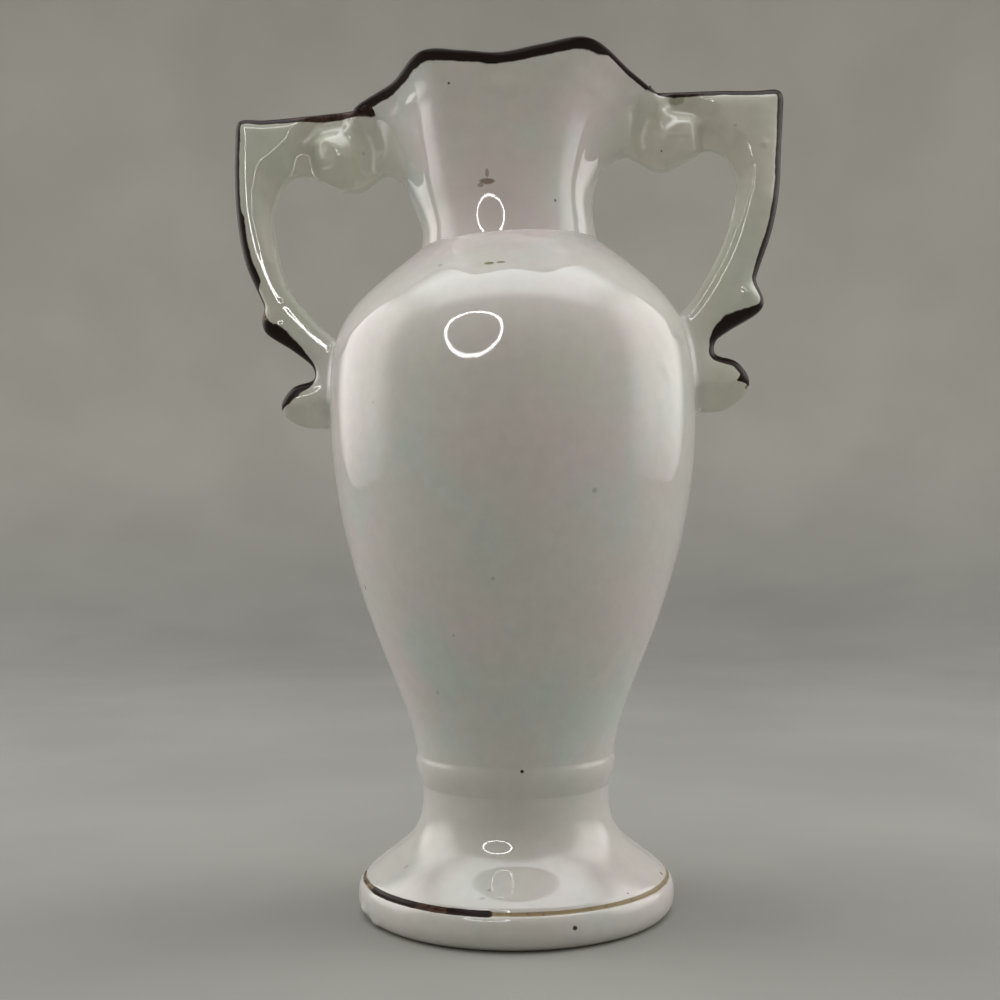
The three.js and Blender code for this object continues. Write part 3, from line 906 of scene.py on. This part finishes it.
def build_handle(size, grip, spec, cores, skins):
    """Cuts, softens and carves one handle, and fills the corner where it meets the vessel."""
    piece = handle_plate(size, grip, spec)
    for core in cores:
        apply_modifier(piece, "BOOLEAN", operation="DIFFERENCE", object=core, solver="EXACT")
    apply_modifier(piece, "REMESH", mode="VOXEL", voxel_size=grip.grain)
    apply_modifier(piece, "SMOOTH", factor=0.5, iterations=4)
    note_edge(piece, size, grip, spec)
    round_over(piece, size, grip, spec)
    apply_modifier(piece, "SMOOTH", factor=0.5, iterations=4)
    carve_scroll(piece, size, grip, spec)
    apply_modifier(piece, "SMOOTH", factor=0.5, iterations=6)
    fill_joint(piece, size, grip, skins)
    apply_modifier(piece, "SMOOTH", factor=0.5, iterations=2)
    lean(piece)
    return piece


# Glaze and paint: node helpers

def feed(tree, socket, source):
    """Links a socket, or writes a value into it."""
    if isinstance(source, NodeSocket):
        tree.links.new(source, socket)
    elif source is not None:
        if hasattr(source, "__len__") and len(source) == 3 and socket.type == "RGBA":
            source = (*source, 1.0)
        socket.default_value = source


def add_node(tree, kind, *sources, **settings):
    """A node with its settings, fed in the order of its inputs."""
    made = tree.nodes.new(kind)
    for name, value in settings.items():
        setattr(made, name, value)
    for socket, source in zip(made.inputs, sources):
        feed(tree, socket, source)
    return made


def calculate(tree, operation, *sources):
    return add_node(tree, "ShaderNodeMath", *sources, operation=operation).outputs[0]


def times(tree, first, second):
    return calculate(tree, "MULTIPLY", first, second)


def plus(tree, first, second):
    return calculate(tree, "ADD", first, second)


def minus(tree, first, second):
    return calculate(tree, "SUBTRACT", first, second)


def vector_maths(tree, operation, *sources, output="Vector"):
    return add_node(tree, "ShaderNodeVectorMath", *sources, operation=operation).outputs[output]


def split(tree, place):
    return add_node(tree, "ShaderNodeSeparateXYZ", place).outputs


def grey(tree, level):
    return add_node(tree, "ShaderNodeCombineColor", level, level, level).outputs[0]


def ramp(tree, value, *ends):
    """Maps a number smoothly from one range to another: from low and high, to low and high."""
    made = add_node(tree, "ShaderNodeMapRange", value, *ends, interpolation_type="SMOOTHSTEP")
    return made.outputs[0]


def blend(tree, part, first, second, mode="MIX"):
    made = add_node(tree, "ShaderNodeMix", data_type="RGBA", blend_type=mode)
    feed(tree, made.inputs[0], part)
    feed(tree, made.inputs[6], first)
    feed(tree, made.inputs[7], second)
    return made.outputs[2]


def profile(tree, value, points, span, peak):
    """A number that follows a curve drawn through the points, each a place and a height."""
    made = tree.nodes.new("ShaderNodeFloatCurve")
    made.mapping.extend = "HORIZONTAL"
    curve = made.mapping.curves[0]
    for place, height in points[1:-1]:
        curve.points.new(place / span, height / peak)
    curve.points[0].location = (points[0][0] / span, points[0][1] / peak)
    curve.points[len(curve.points) - 1].location = (points[-1][0] / span, points[-1][1] / peak)
    for point in curve.points:
        point.handle_type = "VECTOR"
    made.mapping.update()
    feed(tree, made.inputs["Value"], calculate(tree, "DIVIDE", value, span))
    return times(tree, made.outputs[0], peak)


def cloud(tree, place, scale, detail=2.0, roughness=0.5):
    """Soft noise over the surface, from 0 to 1."""
    made = add_node(tree, "ShaderNodeTexNoise")
    feed(tree, made.inputs["Vector"], place)
    feed(tree, made.inputs["Scale"], scale)
    feed(tree, made.inputs["Detail"], detail)
    feed(tree, made.inputs["Roughness"], roughness)
    return made.outputs[0]


def new_group(name, inputs, outputs):
    """An empty shader group with its sockets, and its way in and out."""
    group = bpy.data.node_groups.new(name, "ShaderNodeTree")
    for label, kind in inputs:
        group.interface.new_socket(label, in_out="INPUT", socket_type=kind)
    for label, kind in outputs:
        group.interface.new_socket(label, in_out="OUTPUT", socket_type=kind)
    way_in = group.nodes.new("NodeGroupInput")
    way_out = group.nodes.new("NodeGroupOutput")
    return group, way_in.outputs, way_out.inputs


def place_group(tree, group, **sources):
    """A copy of a group, fed by the names of its inputs."""
    made = tree.nodes.new("ShaderNodeGroup")
    made.node_tree = group
    for label, source in sources.items():
        feed(tree, made.inputs[label.replace("_", " ")], source)
    return made.outputs


FLOAT, COLOR, VECTOR = "NodeSocketFloat", "NodeSocketColor", "NodeSocketVector"


def bloom_group():
    """Pink and green clouds in the glaze, and a slightly darker mottle."""
    group, given, out = new_group(
        "glaze bloom",
        [("Place", VECTOR), ("Base", COLOR), ("Pink", COLOR), ("Green", COLOR), ("Strength", FLOAT)],
        [("Color", COLOR)],
    )
    pink_part = ramp(group, cloud(group, given["Place"], 48.0, 3.0), 0.42, 0.72)
    pink_part = times(group, pink_part, given["Strength"])
    tinted = blend(group, pink_part, given["Base"], given["Pink"])
    shifted = vector_maths(group, "ADD", given["Place"], (0.31, 0.17, 0.05))
    green_part = ramp(group, cloud(group, shifted, 56.0, 3.0), 0.46, 0.74)
    green_part = times(group, green_part, given["Strength"])
    tinted = blend(group, green_part, tinted, given["Green"])
    mottle = ramp(group, cloud(group, given["Place"], 420.0, 4.0, 0.6), 0.3, 0.7, 0.97, 1.02)
    feed(group, out["Color"], blend(group, 1.0, tinted, grey(group, mottle), "MULTIPLY"))
    return group


def skin_group():
    """The slight waviness, pits and dust that a brushed and fired glaze has."""
    group, given, out = new_group("glaze skin", [("Place", VECTOR)], [("Height", FLOAT), ("Pits", FLOAT)])
    wave = times(group, cloud(group, given["Place"], 160.0, 1.0), 0.10)
    ripple = times(group, cloud(group, given["Place"], 700.0, 1.0), 0.012)
    cells = add_node(group, "ShaderNodeTexVoronoi", given["Place"], feature="F1")
    feed(group, cells.inputs["Scale"], 260.0)
    pits = ramp(group, cells.outputs["Distance"], 0.05, 0.10, 1.0, 0.0)
    chance = add_node(group, "ShaderNodeSeparateColor", cells.outputs["Color"]).outputs[0]
    pits = times(group, pits, ramp(group, chance, 0.93, 0.95))
    height = plus(group, wave, ripple)
    height = minus(group, height, times(group, pits, 0.05))
    feed(group, out["Height"], height)
    feed(group, out["Pits"], pits)
    return group


def spot_group():
    """One speck or stain with a ragged edge, round a place on the surface."""
    group, given, out = new_group(
        "kiln spot",
        [
            ("Place", VECTOR), ("Centre", VECTOR), ("Stretch", VECTOR), ("Radius", FLOAT), ("Ragged", FLOAT),
            ("Noise", FLOAT),
        ],
        [("Mask", FLOAT)],
    )
    away = vector_maths(group, "SUBTRACT", given["Place"], given["Centre"])
    away = vector_maths(group, "MULTIPLY", away, given["Stretch"])
    apart = vector_maths(group, "LENGTH", away, output="Value")
    apart = calculate(group, "DIVIDE", apart, given["Radius"])
    rough = times(group, minus(group, given["Noise"], 0.5), given["Ragged"])
    apart = plus(group, apart, rough)
    feed(group, out["Mask"], ramp(group, apart, 0.7, 1.15, 1.0, 0.0))
    return group


def line_group():
    """A hand-painted lustre line: dark where thick, brown where thin, and rubbed to a tan stain."""
    group, given, out = new_group(
        "lustre line",
        [
            ("Place", VECTOR), ("Distance", FLOAT), ("Width", FLOAT), ("Wear", FLOAT), ("Gaps", FLOAT),
            ("Dark", COLOR), ("Brown", COLOR), ("Worn", COLOR),
        ],
        [("Mask", FLOAT), ("Color", COLOR)],
    )
    wobble = minus(group, cloud(group, given["Place"], 420.0, 3.0), 0.5)
    wobble = times(group, wobble, 0.35)
    width = calculate(group, "MAXIMUM", given["Width"], 0.02)
    apart = plus(group, calculate(group, "DIVIDE", given["Distance"], width), wobble)
    mask = ramp(group, apart, 0.88, 1.04, 1.0, 0.0)
    mask = times(group, mask, ramp(group, given["Width"], 0.05, 0.12))
    rub = cloud(group, given["Place"], 900.0, 4.0, 0.65)
    wear = times(group, minus(group, given["Wear"], 0.5), 1.2)
    rub = plus(group, rub, wear)
    gone = times(group, ramp(group, rub, 0.98, 1.1), given["Gaps"])
    mask = times(group, mask, minus(group, 1.0, gone))
    tone = blend(group, ramp(group, rub, 0.35, 0.65), given["Dark"], given["Brown"])
    tone = blend(group, ramp(group, rub, 0.7, 0.95), tone, given["Worn"])
    feed(group, out["Mask"], mask)
    feed(group, out["Color"], tone)
    return group


def spot_centres(piece, spots):
    """Finds where each spot lies on the front of the piece."""
    tree = BVHTree.FromObject(piece, bpy.context.evaluated_depsgraph_get())
    centres = []
    for across, level, *_ in spots:
        hit = tree.ray_cast(Vector((across * MM, -0.1, level * MM)), Vector((0, 1, 0)))[0]
        if hit is None:
            raise RuntimeError(f"a spot misses {piece.name} at {across}, {level}")
        centres.append(hit)
    return centres


def paint_spots(tree, group, place, base, piece, spots):
    noise = cloud(tree, place, 1400.0)
    for centre, (_, _, radius, wide, high, strength, tint) in zip(spot_centres(piece, spots), spots):
        mask = place_group(
            tree, group, Place=place, Centre=centre, Stretch=(1 / wide, 1.0, 1 / high), Radius=radius * MM,
            Ragged=0.6, Noise=noise,
        )["Mask"]
        base = blend(tree, times(tree, mask, strength), base, tint)
    return base


def glaze_groups():
    """Builds each shared group once, and finds it again for the next material."""
    makers = {
        "glaze bloom": bloom_group, "glaze skin": skin_group, "kiln spot": spot_group,
        "lustre line": line_group,
    }
    return {name: bpy.data.node_groups.get(name) or make() for name, make in makers.items()}


# How much the glaze bends light, and how strongly the glaze and the duller lustre mirror the lamps
GLAZE_IOR = 1.6
GLAZE_SHINE, LUSTRE_SHINE = 0.5, 0.1
LUSTRE_ROUGHNESS = 0.3


def glaze_material(name, base, glaze, strength, paint):
    """Glaze over clay, with whatever the paint function lays on it."""
    groups = glaze_groups()
    material = bpy.data.materials.new(name)
    material.use_nodes = True
    tree = material.node_tree
    tree.nodes.clear()
    place = tree.nodes.new("ShaderNodeTexCoord").outputs["Object"]
    tone = place_group(
        tree, groups["glaze bloom"], Place=place, Base=base, Pink=glaze.pink, Green=glaze.green,
        Strength=strength,
    )["Color"]
    skin = place_group(tree, groups["glaze skin"], Place=place)
    tone = blend(tree, times(tree, skin["Pits"], 0.5), tone, GREY)
    roughness = ramp(tree, cloud(tree, place, 300.0, 2.0), 0.3, 0.8, glaze.gloss, glaze.gloss + 0.03)
    tone, roughness = paint(tree, groups, place, tone, roughness)
    bump = tree.nodes.new("ShaderNodeBump")
    feed(tree, bump.inputs["Strength"], 0.35)
    feed(tree, bump.inputs["Distance"], MM)
    feed(tree, bump.inputs["Height"], skin["Height"])
    shader = tree.nodes.new("ShaderNodeBsdfPrincipled")
    feed(tree, shader.inputs["Base Color"], tone)
    feed(tree, shader.inputs["Roughness"], roughness)
    feed(tree, shader.inputs["Normal"], bump.outputs[0])
    shine = ramp(tree, roughness, 0.08, LUSTRE_ROUGHNESS, GLAZE_SHINE, LUSTRE_SHINE)
    feed(tree, shader.inputs["Specular IOR Level"], shine)
    shader.inputs["IOR"].default_value = GLAZE_IOR
    finish = tree.nodes.new("ShaderNodeOutputMaterial")
    tree.links.new(shader.outputs[0], finish.inputs["Surface"])
    return material


def named_number(tree, name):
    return add_node(tree, "ShaderNodeAttribute", attribute_name=name).outputs["Fac"]


def way_round(tree, place):
    """The way round the vase in degrees, from the left handle by the front, and the place in parts."""
    parts = split(tree, place)
    angle = calculate(tree, "ARCTAN2", parts[1], parts[0])
    return plus(tree, times(tree, angle, 180 / math.pi), 180.0), parts


def lay_line(tree, groups, place, glaze, tone, roughness, apart, width, rubbed, gaps, only=1.0):
    """Lays the lustre over the glaze, where it is a little duller than the glaze."""
    line = place_group(
        tree, groups["lustre line"], Place=place, Distance=apart, Width=width, Wear=rubbed, Gaps=gaps,
        Dark=glaze.lustre, Brown=glaze.brown, Worn=glaze.worn,
    )
    mask = times(tree, line["Mask"], only)
    tone = blend(tree, mask, tone, line["Color"])
    return tone, calculate(tree, "MAXIMUM", roughness, times(tree, mask, LUSTRE_ROUGHNESS))


def paint_foot(piece, glaze, size):
    def paint(tree, groups, place, tone, roughness):
        tone = paint_spots(tree, groups["kiln spot"], place, tone, piece, FOOT_SPOTS)
        way, parts = way_round(tree, place)
        level = minus(tree, parts[2], size.rim_height + 0.15 * MM)
        apart = calculate(tree, "DIVIDE", calculate(tree, "ABSOLUTE", level), MM)
        width = profile(tree, way, FOOT_LINE, 360, 1)
        rubbed = profile(tree, way, FOOT_RUBBED, 360, 1)
        across = add_node(tree, "ShaderNodeCombineXYZ", parts[0], parts[1]).outputs[0]
        radial = vector_maths(tree, "LENGTH", across, output="Value")
        outside = ramp(tree, radial, size.rim_radius - 3.1 * MM, size.rim_radius - 2.4 * MM)
        tone, roughness = lay_line(
            tree, groups, place, glaze, tone, roughness, apart, width, rubbed, 0.0, outside
        )
        bare = ramp(tree, parts[2], 0.3 * MM, 0.6 * MM, 1.0, 0.0)
        tone = blend(tree, bare, tone, glaze.bisque)
        return tone, calculate(tree, "MAXIMUM", roughness, times(tree, bare, 0.8))
    return paint


def paint_body(piece):
    def paint(tree, groups, place, tone, roughness):
        return paint_spots(tree, groups["kiln spot"], place, tone, piece, BODY_SPOTS), roughness
    return paint


def paint_neck(piece, glaze):
    def paint(tree, groups, place, tone, roughness):
        tone = paint_spots(tree, groups["kiln spot"], place, tone, piece, NECK_SPOTS)
        parts = split(tree, place)
        width = ramp(tree, parts[0], 13 * MM, 15 * MM, 1.25, 0.65)
        apart = named_number(tree, "lip_distance")
        return lay_line(tree, groups, place, glaze, tone, roughness, apart, width, 0.1, 0.0)
    return paint


def paint_handle(piece, glaze, spec):
    def paint(tree, groups, place, tone, roughness):
        tone = blend(tree, ramp(tree, named_number(tree, "joint_distance"), 0.0, 5.0), glaze.white, tone)
        tone = paint_spots(tree, groups["kiln spot"], place, tone, piece, spec["spots"])
        run = named_number(tree, "edge_run")
        width = profile(tree, run, spec["line"], 95, 2.5)
        rubbed = profile(tree, run, spec["rubbed"], 95, 1)
        apart = named_number(tree, "edge_distance")
        return lay_line(tree, groups, place, glaze, tone, roughness, apart, width, rubbed, 1.0)
    return paint


# Stage

SENSOR_WIDTH = 36.0
PICTURE_SHIFT = (-0.014, 0.005)


def camera(stage):
    across = stage.camera_distance * math.sin(stage.camera_turn)
    away = stage.camera_distance * math.cos(stage.camera_turn)
    bpy.ops.object.camera_add(
        location=(across, -away, stage.camera_height), rotation=(math.pi / 2, 0, stage.camera_turn)
    )
    made = bpy.context.object
    made.name = "camera"
    made.data.lens = stage.lens
    made.data.sensor_width = SENSOR_WIDTH
    made.data.clip_start = 0.01
    made.data.shift_x, made.data.shift_y = PICTURE_SHIFT
    made.rotation_euler.rotate_axis("Z", -stage.camera_roll)
    bpy.context.scene.camera = made


WARM = (1.0, 0.965, 0.93)
COOL = (0.965, 0.985, 1.0)

# Softboxes: the place and the point that each looks at, its width and height, its power and tint
SOFTBOXES = (
    ("left_softbox", (-0.42, 0.125, 0.28), (0, 0.125, 0.28), 0.59, 0.68, 2.9, WARM),
    ("right_softbox", (0.42, 0.125, 0.28), (0, 0.125, 0.28), 0.59, 0.68, 2.8, WARM),
    ("overhead_softbox", (0, 0, 0.52), (0, 0, 0), 1.0, 0.5, 4.0, COOL),
)
SOFT_EDGE = 0.3

RING_CENTRE = Vector((-0.075, -0.19, 0.195))
RING_AIM = Vector((0, 0, 0.09))
RING_RADIUS = 0.065
RING_LAMPS = 60
RING_POWER = 0.6
FILL_POWER = 0.07
FILL_TINT = (1.0, 0.94, 0.82)


def soften(light):
    """Lets a panel fade towards its edges, as the cloth of a softbox does."""
    light.use_nodes = True
    tree = light.node_tree
    place = tree.nodes.new("ShaderNodeNewGeometry").outputs["Parametric"]
    parts = split(tree, place)
    masks = []
    for part in parts[:2]:
        away = calculate(tree, "ABSOLUTE", minus(tree, part, 0.5))
        masks.append(ramp(tree, away, 0.5 - SOFT_EDGE, 0.5, 1.0, 0.0))
    feed(tree, tree.nodes["Emission"].inputs["Strength"], times(tree, *masks))


def panel(name, place, aim, width, height, power, tint):
    bpy.ops.object.light_add(type="AREA", location=place)
    made = bpy.context.object
    made.name = name
    made.data.shape = "RECTANGLE"
    made.data.size = width
    made.data.size_y = height
    made.data.energy = power
    made.data.color = tint
    made.rotation_euler = (Vector(aim) - Vector(place)).to_track_quat("-Z", "Y").to_euler()
    made.visible_camera = False
    soften(made.data)


def ring_lamp():
    """A ring lamp, whose reflection shows in the glaze, and the soft light that falls from it."""
    turn = (RING_AIM - RING_CENTRE).to_track_quat("-Z", "Y")
    for index in range(RING_LAMPS):
        angle = 2 * math.pi * index / RING_LAMPS
        place = RING_CENTRE + RING_RADIUS * (turn @ Vector((math.cos(angle), math.sin(angle), 0)))
        bpy.ops.object.light_add(type="POINT", location=place)
        made = bpy.context.object
        made.name = f"ring_lamp_{index + 1}"
        made.data.energy = RING_POWER / RING_LAMPS
        made.data.shadow_soft_size = 0.0042
        made.visible_camera = False
        made.visible_diffuse = False
    middle = (0, RING_CENTRE.y, RING_CENTRE.z)
    bpy.ops.object.light_add(type="AREA", location=middle, rotation=turn.to_euler())
    fill = bpy.context.object
    fill.name = "ring_fill"
    fill.data.shape = "DISK"
    fill.data.size = 2 * RING_RADIUS
    fill.data.energy = FILL_POWER
    fill.data.color = FILL_TINT
    fill.visible_camera = False
    fill.visible_glossy = False


FLOOR_REACH = 0.32
WALL_REACH = 0.62
WALL_START = 0.3
WALL_HEIGHT = 0.75
WALL_THICKNESS, FLOOR_THICKNESS = 0.02, 0.01


def backdrop(stage):
    """A round floor that rises in a soft curve to a wall all round."""
    bend = joined_curve(
        flat(FLOOR_REACH, 0), flat(0.55, 0), flat(WALL_REACH, 0.08), flat(WALL_REACH, WALL_START), 20
    )
    outside = WALL_REACH + WALL_THICKNESS
    outline = [
        flat(0, 0), flat(0.15, 0), *bend, flat(WALL_REACH, WALL_HEIGHT), flat(outside, WALL_HEIGHT),
        flat(outside, -FLOOR_THICKNESS), flat(0, -FLOOR_THICKNESS),
    ]
    piece = turned("backdrop", outline)
    pick(piece)
    bpy.ops.object.shade_smooth_by_angle(angle=math.radians(40))
    material = bpy.data.materials.new("backdrop_paper")
    material.use_nodes = True
    tree = material.node_tree
    place = tree.nodes.new("ShaderNodeTexCoord").outputs["Object"]
    grain = ramp(tree, cloud(tree, place, 14.0, 3.0), 0.3, 0.7, 0.94, 1.04)
    level = split(tree, place)[2]
    paper = blend(tree, ramp(tree, level, 0.0, 0.1), tuple(stage.floor), tuple(stage.wall))
    shader = tree.nodes["Principled BSDF"]
    feed(tree, shader.inputs["Base Color"], blend(tree, 1.0, paper, grey(tree, grain), "MULTIPLY"))
    shader.inputs["Roughness"].default_value = 0.9
    shader.inputs["Specular IOR Level"].default_value = 0.1
    piece.data.materials.append(material)


def dark_world():
    """The lamps alone give the light."""
    made = bpy.data.worlds.new("studio")
    made.color = (0, 0, 0)
    bpy.context.scene.world = made


# Operators: one for each piece or pair of pieces, and one for the stage

class VASE_OT_stage(Operator):
    """Sets up the camera, the lamps and the floor"""

    bl_idname = "vase.stage"
    bl_label = "Stage"

    def execute(self, context):
        deselect_all()
        stage = context.scene.vase_stage
        context.scene.view_settings.view_transform = "Standard"
        camera(stage)
        backdrop(stage)
        dark_world()
        for softbox in SOFTBOXES:
            panel(*softbox)
        ring_lamp()
        return {"FINISHED"}


class VASE_OT_foot(Operator):
    """Turns the foot with its rolled rim, cone and bead"""

    bl_idname = "vase.foot"
    bl_label = "Foot"

    def execute(self, context):
        size, glaze = context.scene.vase_vessel, context.scene.vase_glaze
        piece = turned("foot_turned", foot_outline(size))
        raise_blisters(piece, DENTS)
        material = glaze_material("white_glaze_foot", glaze.white, glaze, 0.5, paint_foot(piece, glaze, size))
        finish_piece(piece, "foot", material)
        return {"FINISHED"}


class VASE_OT_body(Operator):
    """Turns the hollow body and raises the blisters in its glaze"""

    bl_idname = "vase.body"
    bl_label = "Body"

    def execute(self, context):
        size, glaze = context.scene.vase_vessel, context.scene.vase_glaze
        outside = body_side(size)
        inside = inset(outside, size.wall)[::-1]
        piece = turned("body_turned", [*outside, *inside, outside[0]])
        raise_blisters(piece, BLISTERS)
        lean(piece)
        material = glaze_material("white_glaze_body", glaze.white, glaze, 0.8, paint_body(piece))
        finish_piece(piece, "body", material)
        return {"FINISHED"}


class VASE_OT_neck(Operator):
    """Turns the neck and presses its mouth out into two lobes"""

    bl_idname = "vase.neck"
    bl_label = "Neck with mouth"

    def execute(self, context):
        size, glaze = context.scene.vase_vessel, context.scene.vase_glaze
        piece = neck_tube(size)
        press_mouth(piece, size)
        lean(piece)
        material = glaze_material("white_glaze_neck", glaze.white, glaze, 0.9, paint_neck(piece, glaze))
        finish_piece(piece, "neck_with_mouth", material)
        return {"FINISHED"}


class VASE_OT_handles(Operator):
    """Casts both scrolled handles and lutes them to the vessel"""

    bl_idname = "vase.handles"
    bl_label = "Handles"

    def execute(self, context):
        size, grip, glaze = context.scene.vase_vessel, context.scene.vase_handles, context.scene.vase_glaze
        cores = vessel_fills(size, -grip.luting)
        fills = vessel_fills(size, 0.0)
        skins = [skin_tree(fill) for fill in fills]
        remove(*fills)
        for spec in HANDLES:
            piece = build_handle(size, grip, spec, cores, skins)
            rename(piece, f"{spec['name']}_cast")
            paint = paint_handle(piece, glaze, spec)
            material = glaze_material(f"cream_glaze_{spec['name']}", glaze.cream, glaze, 0.3, paint)
            finish_piece(piece, spec["name"], material)
        remove(*cores)
        return {"FINISHED"}


class VASE_PT_bench(Panel):
    """Lists the steps and the sizes of the vase"""

    bl_idname = "VASE_PT_bench"
    bl_label = "Bud vase"
    bl_space_type = "VIEW_3D"
    bl_region_type = "UI"
    bl_category = "Bud vase"

    def draw(self, context):
        layout = self.layout
        for operator in OPERATORS:
            layout.operator(operator.bl_idname)
        for name in GROUPS:
            box = layout.box()
            group = getattr(context.scene, name)
            for field in group.__annotations__:
                box.prop(group, field)


OPERATORS = (VASE_OT_stage, VASE_OT_foot, VASE_OT_body, VASE_OT_neck, VASE_OT_handles)
GROUPS = {
    "vase_vessel": VASE_PG_vessel, "vase_handles": VASE_PG_handles, "vase_glaze": VASE_PG_glaze,
    "vase_stage": VASE_PG_stage,
}


def register():
    for group in GROUPS.values():
        bpy.utils.register_class(group)
    for name, group in GROUPS.items():
        setattr(bpy.types.Scene, name, PointerProperty(type=group))
    for operator in OPERATORS:
        bpy.utils.register_class(operator)
    bpy.utils.register_class(VASE_PT_bench)


def unregister():
    bpy.utils.unregister_class(VASE_PT_bench)
    for operator in reversed(OPERATORS):
        bpy.utils.unregister_class(operator)
    for name, group in GROUPS.items():
        delattr(bpy.types.Scene, name)
        bpy.utils.unregister_class(group)


def main():
    register()
    bpy.ops.vase.stage()
    bpy.ops.vase.foot()
    bpy.ops.vase.body()
    bpy.ops.vase.neck()
    bpy.ops.vase.handles()


if __name__ == "__main__":
    main()
